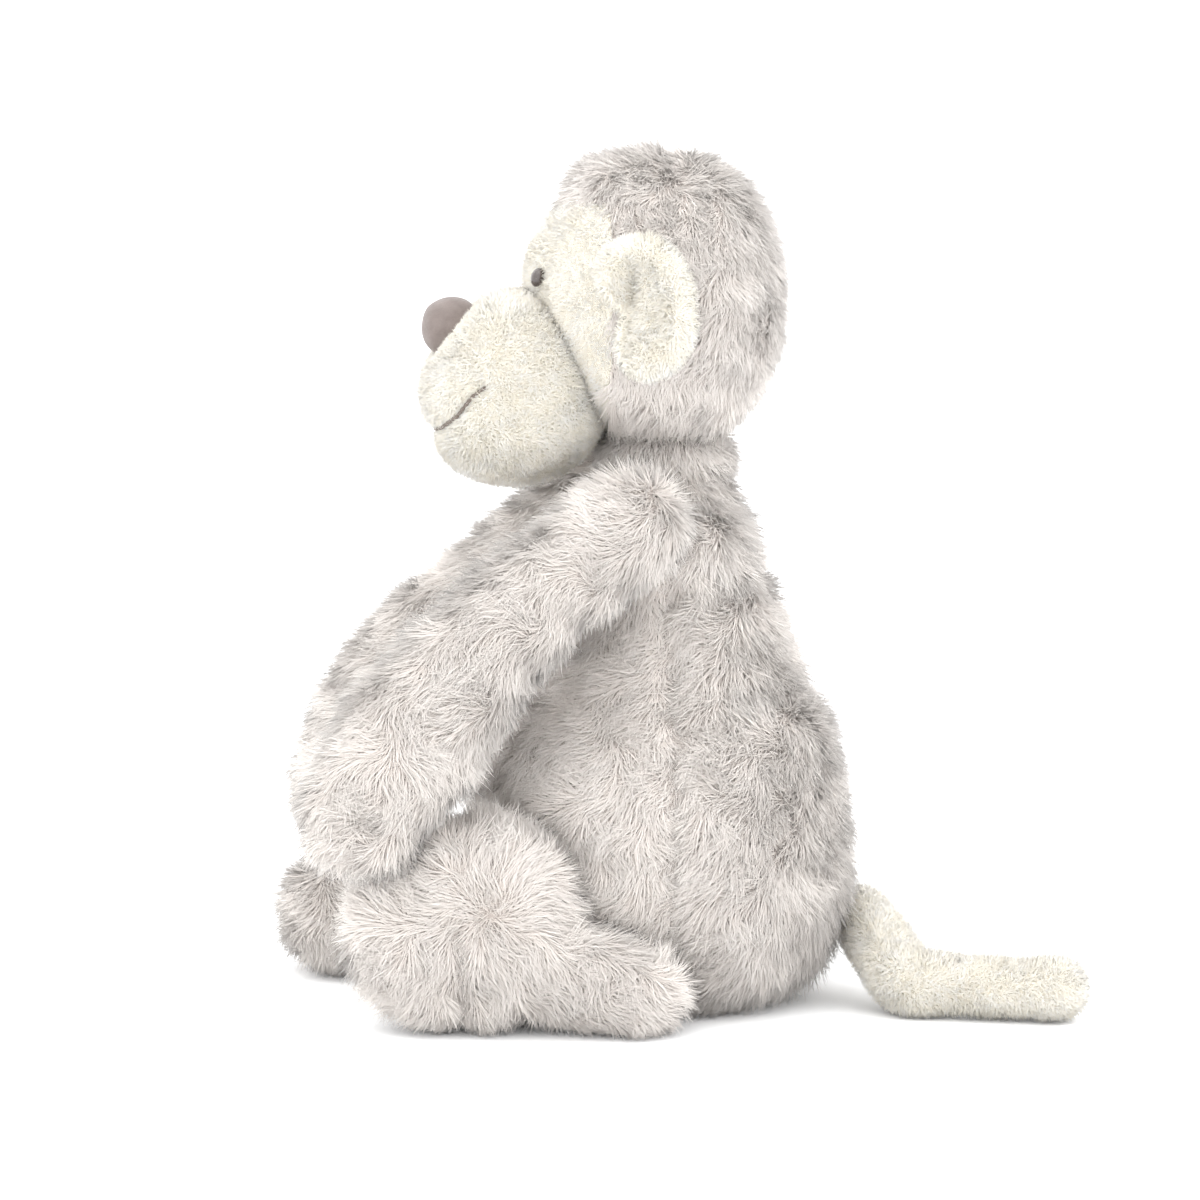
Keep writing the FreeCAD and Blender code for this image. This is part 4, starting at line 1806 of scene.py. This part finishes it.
    def build_face(self, form: Skin) -> None:
        """Makes the cream face, a closed cloth of its own just over the head's form.

        Args:
            form: The head's form.
        """
        cloth = form.part("face_skin", self.in_face)
        piece = new_piece("face_making", cloth)
        shell = piece.modifiers.new("shell", "SOLIDIFY")
        shell.thickness, shell.offset = 1.0 * MM, 0.2
        mesh = evaluated(piece)
        bpy.data.objects.remove(piece)
        turn_out(mesh)
        self.sew(Skin("face_skin", mesh), CREAM_CLOTH, "head")
        panel = form.part("face_pile", self.shows)
        self.cover("face_pile", panel, PLUSH, "head", ("face_panel",))

    def muzzle_skin(self) -> Skin:
        """The muzzle's form: rings from cheek to cheek round its side outline.

        Returns:
            The skin.
        """
        around, count = 112, 80
        turn = np.linspace(-np.pi, np.pi, around, endpoint=False)
        table = smooth_line(np.column_stack([self.muzzle_turns, self.muzzle_radii]), 300)
        outline = np.interp(np.degrees(turn), table[:, 0], table[:, 1])
        swing = np.linspace(-0.97, 0.97, count) * np.pi / 2
        share = np.cos(swing)[:, None] ** self.muzzle_fullness
        rings = np.stack(
            [
                self.muzzle_half_width * np.sin(swing)[:, None] + 0 * share * outline,
                -share * outline * np.cos(turn),
                share * outline * np.sin(turn),
            ],
            axis=-1,
        )
        poles = np.array([[-self.muzzle_half_width, 0, 0], [self.muzzle_half_width, 0, 0]])
        mesh = ring_mesh("muzzle_skin", rings + self.muzzle, poles + self.muzzle)
        return Skin("muzzle_skin", mesh)

    def trace_mouth(self, skin: Skin) -> Array:
        """Finds the mouth's line on the muzzle: the height that belongs to the depth at each x.

        Args:
            skin: The muzzle's skin.

        Returns:
            The points of the line, in millimetres.
        """
        tree = skin.tree()
        spots = []
        for x in np.linspace(-self.mouth_half_width, self.mouth_half_width, 61):
            height = self.muzzle[2]
            for _ in range(12):
                hit, _, _, _ = tree.ray_cast(Vector((x, -100.0, height)) * MM, Vector((0, 1, 0)))
                wanted = np.interp(hit.y / MM, self.mouth_depths, self.mouth_heights)
                height = 0.5 * (height + wanted)
            spots.append(hit / MM)
        return np.array(spots)

    def near_mouth(self, points: Array, ridge: Ridge) -> Array:
        """A ridge along the mouth's line.

        Args:
            points: The muzzle's points, in millimetres.
            ridge: The ridge, across the distance from the line.

        Returns:
            How high it is at each point.
        """
        near = np.zeros(len(points))
        middle = self.mouth[len(self.mouth) // 2]
        close = np.linalg.norm(points - middle, axis=1) < self.mouth_reach
        gaps = np.linalg.norm(points[close][:, None] - self.mouth[None], axis=2).min(axis=1)
        near[close] = ridge.at(gaps)
        return near

    def build_muzzle(self) -> Skin:
        """Makes the muzzle, grooved along the mouth.

        Returns:
            The muzzle's skin.
        """
        skin = self.muzzle_skin()
        self.mouth = self.trace_mouth(skin)
        skin.push(lambda p, n: 0.5 * lumps(p, 9.0, 4.4) - self.near_mouth(p, self.mouth_groove))
        tuft = np.array(self.nose)
        skin.comb(lambda p, n: unit(p - tuft), self.muzzle_long, 0.8)
        self.sew(skin, CREAM_CLOTH, "head")
        part = skin.part("muzzle_pile", self.on_muzzle)
        self.cover("muzzle_pile", part, PLUSH, "head", ("muzzle_cover",))
        return skin

    def on_muzzle(self, centres: Array) -> Array:
        """Which faces of the muzzle neither the nose nor the head covers."""
        beside = np.linalg.norm((centres - np.array(self.nose)) / (9.0, 8.0, 8.0), axis=1)
        return (beside > 0.9) & (centres[:, 1] < self.muzzle_back)

    def muzzle_long(self, points: Array, normals: Array) -> Array:
        """Shorter pile along the mouth and next to the nose.

        Args:
            points: Places on the skin, in millimetres.
            normals: The directions away from it there.

        Returns:
            A share of the pile's length for each point.
        """
        far = np.linalg.norm((points - np.array(self.nose)) / (10.5, 9.5, 9.5), axis=1)
        near_nose = 0.35 + 0.65 * np.clip((far - 0.95) / 0.45, 0, 1)
        uneven = 1 + 0.2 * lumps(points, 4.0, 2.0)
        return near_nose * uneven * (1 - self.near_mouth(points, self.mouth_trim))

    def build_nose(self) -> None:
        """Makes the suede nose: an oval cap that leans back over the muzzle."""
        mesh = oval_mesh("nose_skin", np.zeros(3), 1, 1.3, 1.0, 0.66, 72, 48)
        skin = Skin("nose_skin", mesh)
        points = skin.points * (np.array(self.nose_size) / (1.3, 1.0, 1.3))
        flat = 1 - 0.04 * bell(points[:, 0], 2.2) * np.clip(-points[:, 2] / 4, 0, 1)
        points *= flat[:, None]
        cos, sin = math.cos(self.nose_tilt), math.sin(self.nose_tilt)
        spin = np.array([[1, 0, 0], [0, cos, sin], [0, -sin, cos]])
        skin.set_points(points @ spin.T + np.array(self.nose))
        turn_out(skin.mesh)
        skin.push(lambda p, n: 0.22 * lumps(p, 4.0, 1.0))
        self.sew(skin, NOSE_SUEDE, "head", ("nose_cover",), NOSE_FILL)

    def build_mouth(self, muzzle: Skin, stitches: StitchTree) -> None:
        """Lays the mouth's stitches on the muzzle's skin.

        Args:
            muzzle: The muzzle's skin.
            stitches: The tree that lays stitches.
        """
        tree = muzzle.tree()
        spots = []
        for spot in self.mouth:
            hit, normal, _, _ = tree.find_nearest(Vector(spot) * MM)
            spots.append(hit + normal * self.mouth_lift * MM)
        line = bpy.data.meshes.new("mouth_line")
        line.from_pydata(spots, [(k, k + 1) for k in range(len(spots) - 1)], [])
        values = {
            "Pitch": self.stitch_pitch * MM,
            "Length": self.stitch_length * MM,
            "Radius": self.stitch_radius * MM,
            "Material": Finishes.of(MOUTH_THREAD),
        }
        piece = stitches.grow("mouth_stitching", line, values)
        enlist(piece, "head", ("mouth_stitch",))

    def build(self, stitches: StitchTree) -> None:
        """Makes every piece of the head.

        Args:
            stitches: The tree that lays the mouth's stitches.
        """
        form = self.form()
        self.build_hair(form)
        self.build_face(form)
        muzzle = self.build_muzzle()
        self.build_nose()
        self.build_mouth(muzzle, stitches)


@dataclass(frozen=True)
class Eye:
    """An oval, domed eye that sits in its dimple and follows the slope of the face.

    Attributes:
        side: Which eye.
        place: Its middle, for the left side.
        reach: Half its width.
        depth: Half its thickness.
        edge: The radius of its edge.
        stretch: How much its width and its height are stretched.
        turn: How far it faces outwards.
        tilt: How far it faces upwards.
    """

    side: Side
    place: Place = (9.6, -34.0, 182.2)
    reach: float = 2.3
    depth: float = 1.7
    edge: float = 1.1
    stretch: tuple[float, float] = (0.92, 1.06)
    turn: float = math.radians(10)
    tilt: float = math.radians(20)

    def build(self) -> None:
        """Makes the eye."""
        name = f"{self.side.word}_eye_dome"
        sign = self.side.value
        mesh = oval_mesh(name, np.zeros(3), 1, self.reach, self.depth, self.edge, 48, 32)
        skin = Skin(name, mesh)
        cos, sin = math.cos(self.tilt), math.sin(self.tilt)
        lean = np.array([[1, 0, 0], [0, cos, sin], [0, -sin, cos]])
        cos, sin = math.cos(self.turn * sign), math.sin(self.turn * sign)
        face = np.array([[cos, -sin, 0], [sin, cos, 0], [0, 0, 1]])
        place = np.array(self.place) * (sign, 1, 1)
        oval = (self.stretch[0], 1, self.stretch[1])
        skin.set_points(skin.points * oval @ lean.T @ face.T + place)
        turn_out(skin.mesh)
        enlist(skin.piece(EYE_GLOSS), "head", (f"{self.side.word}_eye",))


@dataclass
class Ear(SoftPart):
    """An ear: a thick-rimmed cup, gathered where it is sewn to the head."""

    side: Side = Side.LEFT
    centre: Place = (41.4, -9.4, 176.6)
    turn: float = math.radians(32)
    turns: tuple[float, ...] = (
        0, 15, 46, 71, 94, 113, 130, 147, 169, 198, 227, 248, 270, 296, 320, 349, 360,
    )
    reaches: tuple[float, ...] = (
        11.4, 11.5, 13.2, 15.4, 16.5, 17.3, 16.7, 13.8, 9.5,
        6.9, 11.7, 15.7, 16.5, 15.4, 13.7, 11.9, 11.4,
    )
    shares: tuple[float, ...] = (
        0.05, 0.2, 0.35, 0.48, 0.6, 0.7, 0.79, 0.87, 0.94,
        0.985, 1.0, 0.985, 0.94, 0.86, 0.74, 0.55, 0.3, 0.05,
    )
    rises: tuple[float, ...] = (
        0.4, 0.5, 0.8, 1.5, 2.3, 2.9, 3.1, 2.8, 2.0,
        1.1, 0.0, -1.1, -2.0, -2.7, -3.2, -3.5, -3.7, -3.8,
    )
    crease: tuple[tuple[float, float], ...] = (
        (-3.2, 9.7),
        (-4.6, 4.0),
        (-5.4, -3.0),
        (-5.2, -10.0),
    )
    crease_ridge: Ridge = Ridge(2.8, 0, 2.4)
    lobe: tuple[float, float] = (-10.0, 8.0)
    lobe_ridge: Ridge = Ridge(2.6, 0, 6.5)
    gather: Place = (-3.2, 9.7, 1.0)
    around: int = 112
    along: int = 46

    def skin(self) -> Skin:
        """The ear's skin: rings from the middle of its cup over the rim to the middle of its back.

        Returns:
            The skin.
        """
        angle = np.linspace(0, 2 * np.pi, self.around, endpoint=False)
        table = smooth_line(np.column_stack([self.turns, self.reaches]), 300)
        reach = np.interp(np.degrees(angle), table[:, 0], table[:, 1])
        rings = smooth_line(np.column_stack([self.shares, self.rises]), self.along)
        flat = rings[:, 0][:, None] * reach[None]
        local = np.stack(
            [flat * np.cos(angle), flat * np.sin(angle), rings[:, 1][:, None] + 0 * flat], axis=-1
        )
        local[..., 2] += self.fold(local)
        poles = np.array([[0, 0, self.rises[0]], [0, 0, self.rises[-1]]])
        mesh = ring_mesh("ear", self.place(local), self.place(poles))
        return Skin(f"{self.side.word}_ear_skin", mesh)

    def fold(self, local: Array) -> Array:
        """The crease down the cup, and the front lobe that curls over it.

        Args:
            local: Points in the ear's own directions.

        Returns:
            How far each point moves towards the cup side.
        """
        knots = smooth_line(np.array(self.crease), 40)
        gaps = np.linalg.norm(local[..., None, :2] - knots, axis=-1).min(axis=-1)
        cup = local[..., 2] > 0
        beside = np.hypot(local[..., 0] - self.lobe[0], local[..., 1] - self.lobe[1])
        return self.lobe_ridge.at(beside) - self.crease_ridge.at(gaps) * cup

    def place(self, local: Array) -> Array:
        """Turns the ear's own (outwards edge, up, cup side) into the monkey's frame.

        Args:
            local: Points in the ear's own directions.

        Returns:
            The points in the monkey's frame.
        """
        sign = self.side.value
        cos, sin = math.cos(self.turn), math.sin(self.turn)
        edge = np.array([sign * sin, cos, 0.0])
        cup = np.array([sign * cos, -sin, 0.0])
        centre = np.array([sign * self.centre[0], self.centre[1], self.centre[2]])
        up = np.array([0.0, 0.0, 1.0])
        return centre + local[..., 0:1] * edge + local[..., 1:2] * up + local[..., 2:3] * cup

    def long(self, points: Array, normals: Array) -> Array:
        """Uneven all over."""
        return 0.95 + 0.25 * lumps(points, 5.0, 2.5)

    def build(self) -> None:
        """Makes the ear's skin and pile."""
        skin = self.skin().push(lambda p, n: 0.45 * lumps(p, 6.0, 7.0))
        gather = self.place(np.array(self.gather))
        skin.comb(lambda p, n: unit(p - gather), self.long, 0.7)
        body = f"{self.side.word}_ear"
        self.sew(skin, CREAM_CLOTH, body, (f"{body}_front", f"{body}_back"))
        part = skin.part(f"{body}_pile", lambda c: c[:, 2] > 0)
        self.cover(f"{body}_pile", part, PLUSH, body)


@dataclass
class Arm(SoftPart):
    """A stuffed arm, bent at the elbow, that thickens to the hand."""

    side: Side = Side.LEFT
    line: tuple[Place, ...] = (
        (34.0, -13.0, 123.0),
        (36.5, -27.0, 113.6),
        (39.3, -42.0, 101.6),
        (41.0, -51.0, 92.4),
        (42.3, -58.0, 83.4),
        (43.6, -65.5, 74.4),
        (44.8, -72.5, 65.5),
        (46.0, -79.5, 55.0),
    )
    radii: tuple[float, ...] = (12.0, 11.9, 12.1, 12.8, 14.2, 15.6, 15.0, 13.0)
    lower: float = 0.0
    seam: Ridge = Ridge(0.9, 0, 1.8)
    paw_crease: Ridge = Ridge(1.6, 53, 2.2)
    whorl: Place = (39.0, -6.0, 135.0)

    @property
    def shoulder(self) -> Place:
        """The whorl on this side's shoulder."""
        return (self.side.value * self.whorl[0], self.whorl[1], self.whorl[2])

    def relief(self, points: Array, normals: Array) -> Array:
        """Soft lumps, the long seams, and a crease across the paw.

        Args:
            points: Places on the skin, in millimetres.
            normals: The directions away from it there.

        Returns:
            How far each point moves out, in millimetres.
        """
        x, y, z = points.T
        middle = np.interp(-y, [13, 45, 80], [34, 40, 46]) * self.side.value
        seams = self.seam.at(x - middle)
        paw = self.paw_crease.at(z + self.lower) * ramp(-y, 64, 72)
        return 1.2 * lumps(points, 14.0, 3.1) + 0.5 * lumps(points, 6.0, 1.9) - seams - paw

    def lie(self, points: Array, normals: Array) -> Array:
        """Away from the whorl on the shoulder, down the arm."""
        return unit(points - np.array(self.shoulder)) + np.array([0.0, 0.0, -0.15])

    def long(self, points: Array, normals: Array) -> Array:
        """Uneven all over."""
        return 1 + 0.15 * lumps(points, 9.0, 4.0)

    def build(self) -> None:
        """Makes the arm's skin and the pile of its two panels."""
        line = np.array(self.line)
        line[:, 0] *= self.side.value
        line[:, 2] -= self.lower * np.clip((-58 - line[:, 1]) / 20, 0, 1)
        name = f"{self.side.word}_arm"
        mesh = club_mesh(f"{name}_skin", line, np.array(self.radii), np.array([1.0, 0, 0]))
        skin = Skin(f"{name}_skin", mesh).push(self.relief)
        skin.comb(self.lie, self.long, 0.7, self.shoulder)
        self.sew(skin, FUR_CLOTH, name)
        run = line[-1] - line[0]
        side = unit(np.cross(run, [0.0, 0.0, 1.0]))
        side = side * np.sign(side[0]) * self.side.value
        for layer, sign in (("outer", 1), ("inner", -1)):
            panel = f"{name}_{layer}_pile"
            part = skin.part(panel, lambda c, s=sign: ((c - line[0]) @ side) * s >= 0)
            self.cover(panel, part, FUR, name, (f"{name}_{layer}_panel",))


@dataclass
class Leg(SoftPart):
    """A leg that lies on the floor: a thigh and a round foot, grown into one skin."""

    side: Side = Side.LEFT
    foot_seam: float = -55.0
    side_seam: float = 41.0
    whorl: Place = (54.0, -48.0, 31.0)
    hip: Place = (44.5, -12.0, 10.0)
    knee: Place = (40.0, -46.0, 20.0)
    hip_radius: float = 9.8
    knee_radius: float = 13.2
    foot: Place = (38.0, -52.0, 26.0)
    toe: Place | None = None
    foot_radius: float = 26.2
    foot_depth: float = 15.4
    foot_edge: float = 9.6
    voxel: float = 1.5
    smoothing: int = 6

    def form(self) -> Skin:
        """The thigh and the foot as one skin.

        Returns:
            The skin.
        """
        across = np.array([1.0, 0, 0])
        bones = np.array([self.hip, self.knee])
        radii = np.array([self.hip_radius, self.knee_radius])
        thigh = club_mesh("thigh", bones, radii, across, 40, 24)
        if self.toe is None:
            centre, edge = np.array(self.foot), self.foot_edge
            foot = oval_mesh("foot", centre, 0, self.foot_radius, self.foot_depth, edge, 64, 40)
        else:
            bones = np.array([self.foot, self.toe])
            foot = club_mesh("foot", bones, np.array([self.foot_radius] * 2), across, 48, 8)
        name = f"{self.side.word}_leg_skin"
        return Skin.union(name, [thigh, foot], self.voxel, self.smoothing)

    def relief(self, points: Array, normals: Array) -> Array:
        """Soft lumps, the seams, and a foot that is fuller in front.

        Args:
            points: Places on the skin, in millimetres.
            normals: The directions away from it there.

        Returns:
            How far each point moves out, in millimetres.
        """
        x, y, z = points.T
        groove = Ridge(amount=2.6, centre=self.foot_seam, width=2.4).at(y)
        groove *= np.clip((34 - z) / 8, 0.2, 1)
        full = Ridge(amount=2.2, centre=24, width=14).at(z)
        full *= np.clip((self.foot[1] - 12 - y) / 10, 0, 1)
        seam = Ridge(amount=0.8, centre=self.side_seam, width=1.8).at(x) * (y > self.foot_seam)
        soft = 1.3 * lumps(points, 13.0, 6.3) + 0.5 * lumps(points, 6.0, 2.9)
        return 0.5 + full - groove - seam + soft

    def long(self, points: Array, normals: Array) -> Array:
        """Short pile where the leg rests, and in the foot's seam.

        Args:
            points: Places on the skin, in millimetres.
            normals: The directions away from it there.

        Returns:
            A share of the pile's length for each point.
        """
        _, y, z = points.T
        seam = Ridge(amount=0.4, centre=self.foot_seam, width=2.0).at(y)
        low = 0.45 + 0.55 * ramp(z, 0, 9)
        return low * (1 - seam + 0.15 * lumps(points, 9.0, 5.0))

    def lie(self, points: Array, normals: Array) -> Array:
        """Away from the whorl on the foot's outer side, and down."""
        return unit(points - np.array(self.whorl)) + np.array([0.0, 0.0, -0.4])

    def build(self) -> None:
        """Makes the leg's skin and the pile of its three panels."""
        name = f"{self.side.word}_leg"
        skin = self.form().push(self.relief).above_floor(LEG_REST)
        skin.comb(self.lie, self.long, 0.9, self.whorl)
        self.sew(skin, FUR_CLOTH, name)
        panels: dict[str, Test] = {
            f"{self.side.word}_foot": self.on_foot,
            f"{name}_outer": lambda c: ~self.on_foot(c) & self.on_outside(c),
            f"{name}_inner": lambda c: ~self.on_foot(c) & ~self.on_outside(c),
        }
        for start, test in panels.items():
            self.cover(f"{start}_pile", skin.part(start, test), FUR, name, (f"{start}_panel",))

    def on_foot(self, centres: Array) -> Array:
        """Which faces belong to the foot panel."""
        return centres[:, 1] < self.foot_seam

    def on_outside(self, centres: Array) -> Array:
        """Which faces lie on the outer side of the leg's seam."""
        return (centres[:, 0] - self.side_seam) * self.side.value >= 0


@dataclass
class Tail(SoftPart):
    """The cream tail: down from the back, then along the floor to its blunt tip."""

    line: tuple[Place, ...] = (
        (3.0, 48.0, 20.8),
        (14.0, 51.6, 15.2),
        (27.2, 56.4, 9.0),
        (32.2, 69.0, 8.4),
        (35.0, 80.0, 8.2),
        (38.0, 92.0, 8.4),
    )
    radii: tuple[float, ...] = (6.4, 7.1, 7.5, 6.3, 6.3, 6.6)
    bend: tuple[float, float] = (21.0, 55.0)
    crease: Ridge = Ridge(1.1, 3, 1.3)

    def relief(self, points: Array, normals: Array) -> Array:
        """Lumps, and the creases of the bend.

        Args:
            points: Places on the skin, in millimetres.
            normals: The directions away from it there.

        Returns:
            How far each point moves out, in millimetres.
        """
        x, y, z = points.T
        beside = np.hypot(x - self.bend[0], y - self.bend[1])
        crease = self.crease.at(beside) * ramp(z, 11, 14)
        return 0.7 * lumps(points, 7.0, 5.5) - crease

    def lie(self, points: Array, normals: Array) -> Array:
        """Along the tail, towards its tip."""
        return np.tile([0.35, 1.0, -0.1], (len(points), 1))

    def long(self, points: Array, normals: Array) -> Array:
        """Uneven all over."""
        return 1 + 0.2 * lumps(points, 5.0)

    def build(self) -> None:
        """Makes the tail's skin and pile."""
        line, radii, up = np.array(self.line), np.array(self.radii), np.array([0.0, 0.0, 1.0])
        mesh = club_mesh("tail_skin", line, radii, up, 48, 72)
        skin = Skin("tail_skin", mesh).push(self.relief).above_floor(TAIL_REST)
        skin.comb(self.lie, self.long, 0.7)
        self.sew(skin, CREAM_CLOTH, "tail", ("tail_cover",))
        part = skin.part("tail_pile", lambda c: c[:, 2] > 0)
        self.cover("tail_pile", part, PLUSH, "tail")


# ---------------------------------------------------------------- room, light and camera


@dataclass
class Studio:
    """A white floor, a white room, two large soft lights and the camera.

    Attributes:
        azimuth: Where the camera stands round the monkey, from its front.
        elevation: How far above the level it stands.
        look_at: What it looks at, in metres.
        distance: How far away it is, in metres.
        view_width: How wide the view is there, in metres.
        sensor: The width of its sensor, in millimetres.
        floor_white: The floor's colour.
        room_light: The strength of the light from all round.
    """

    azimuth: float = math.radians(86)
    elevation: float = math.radians(7)
    look_at: Place = (0.0, -0.018, 0.101)
    distance: float = 1.2
    view_width: float = 0.300
    sensor: float = 36.0
    floor_white: Colour = (0.955, 0.96, 0.965)
    room_light: float = 1.95

    def floor(self) -> None:
        """A plain pale floor."""
        shape = bmesh.new()
        bmesh.ops.create_grid(shape, x_segments=1, y_segments=1, size=40.0)
        mesh = bpy.data.meshes.new("floor")
        shape.to_mesh(mesh)
        shape.free()
        material = bpy.data.materials.new("floor_white")
        material.use_nodes = True
        material.node_tree.nodes.clear()
        graph = Graph(material.node_tree)
        shader = graph.add(
            "ShaderNodeBsdfDiffuse", None, {"Color": (*self.floor_white, 1.0), "Roughness": 0.5}
        )
        graph.add("ShaderNodeOutputMaterial", None, {"Surface": shader.outputs[0]})
        mesh.materials.append(material)
        new_piece("floor", mesh)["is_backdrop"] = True

    def light(self, name: str, place: Place, size: float, power: float, tint: Colour) -> None:
        """One soft square light that faces the monkey.

        Args:
            name: The light's name.
            place: Where it hangs, in metres.
            size: The length of its sides, in metres.
            power: Its power, in watts.
            tint: Its colour.
        """
        lamp = bpy.data.lights.new(name, "AREA")
        lamp.size, lamp.energy, lamp.color = size, power, tint
        thing = bpy.data.objects.new(name, lamp)
        bpy.context.scene.collection.objects.link(thing)
        thing.location = place
        aim = Vector(self.look_at) - Vector(place)
        thing.rotation_euler = aim.to_track_quat("-Z", "Y").to_euler()

    def camera(self) -> None:
        """The camera, level with the monkey's belly and a little above it."""
        lens = bpy.data.cameras.new("camera")
        lens.sensor_width = self.sensor
        lens.lens = self.sensor * self.distance / self.view_width
        lens.clip_start, lens.clip_end = 0.01, 50.0
        thing = bpy.data.objects.new("camera", lens)
        bpy.context.scene.collection.objects.link(thing)
        level = math.cos(self.elevation)
        back = Vector(
            (
                math.sin(self.azimuth) * level,
                -math.cos(self.azimuth) * level,
                math.sin(self.elevation),
            )
        )
        thing.location = Vector(self.look_at) + back * self.distance
        thing.rotation_euler = (-back).to_track_quat("-Z", "Y").to_euler()
        bpy.context.scene.camera = thing

    def build(self) -> None:
        """Makes the room."""
        self.floor()
        self.light("key", (0.7, -0.7, 2.4), 2.2, 13.0, (1.0, 0.99, 0.97))
        self.light("fill", (1.6, 1.2, 1.2), 2.0, 2.0, (0.97, 0.98, 1.0))
        world = bpy.data.worlds.new("white_room")
        world.use_nodes = True
        world.node_tree.nodes.clear()
        graph = Graph(world.node_tree)
        white = (1.0, 1.0, 1.0, 1.0)
        sky = graph.add(
            "ShaderNodeBackground", None, {"Color": white, "Strength": self.room_light}
        )
        graph.add("ShaderNodeOutputWorld", None, {"Surface": sky.outputs[0]})
        bpy.context.scene.world = world
        bpy.context.scene.view_settings.view_transform = "Standard"
        self.camera()


@dataclass
class Insides:
    """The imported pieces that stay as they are, each dressed by its slot."""

    nodes: dict[str, bpy.types.Object] = field(default_factory=dict)

    def dress(self, record: dict[str, Any]) -> None:
        """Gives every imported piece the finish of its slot.

        Args:
            record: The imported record.
        """
        for row in record["subparts"]:
            piece = self.nodes[row["node"]]
            finish = INSIDE[Slot(row["material_slot"])]
            piece.data.materials.clear()
            piece.data.materials.append(Finishes.of(finish))


def main() -> None:
    """Builds the monkey part by part."""
    logging.basicConfig(level=logging.INFO, format="%(message)s")
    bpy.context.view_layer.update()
    Studio().build()
    Insides(frame["nodes"]).dress(frame["record"])
    pile, stitches = PileTree(), StitchTree()
    Torso(pile).build()
    Neck(pile).build()
    Head(pile).build(stitches)
    for side in Side:
        Eye(side).build()
        Ear(pile, side=side).build()
    Arm(pile, side=Side.LEFT).build()
    Arm(
        pile,
        side=Side.RIGHT,
        lower=5.5,
        radii=(12.0, 11.9, 11.8, 12.7, 15.0, 16.8, 16.1, 13.6),
    ).build()
    Leg(pile).build()
    Leg(
        pile,
        side=Side.RIGHT,
        foot_seam=-78.0,
        side_seam=-39.5,
        whorl=(-53.0, -72.0, 20.0),
        hip=(-44.5, -17.0, 11.5),
        knee=(-38.0, -62.0, 13.0),
        hip_radius=10.6,
        knee_radius=12.6,
        foot=(-37.0, -70.0, 14.0),
        toe=(-37.0, -81.0, 14.0),
        foot_radius=13.9,
    ).build()
    Tail(pile).build()
    bpy.context.view_layer.update()
    total = sum(len(piece.data.polygons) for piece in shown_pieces())
    LOG.info("all pieces: %d faces", total)


if __name__ == "__main__":
    main()
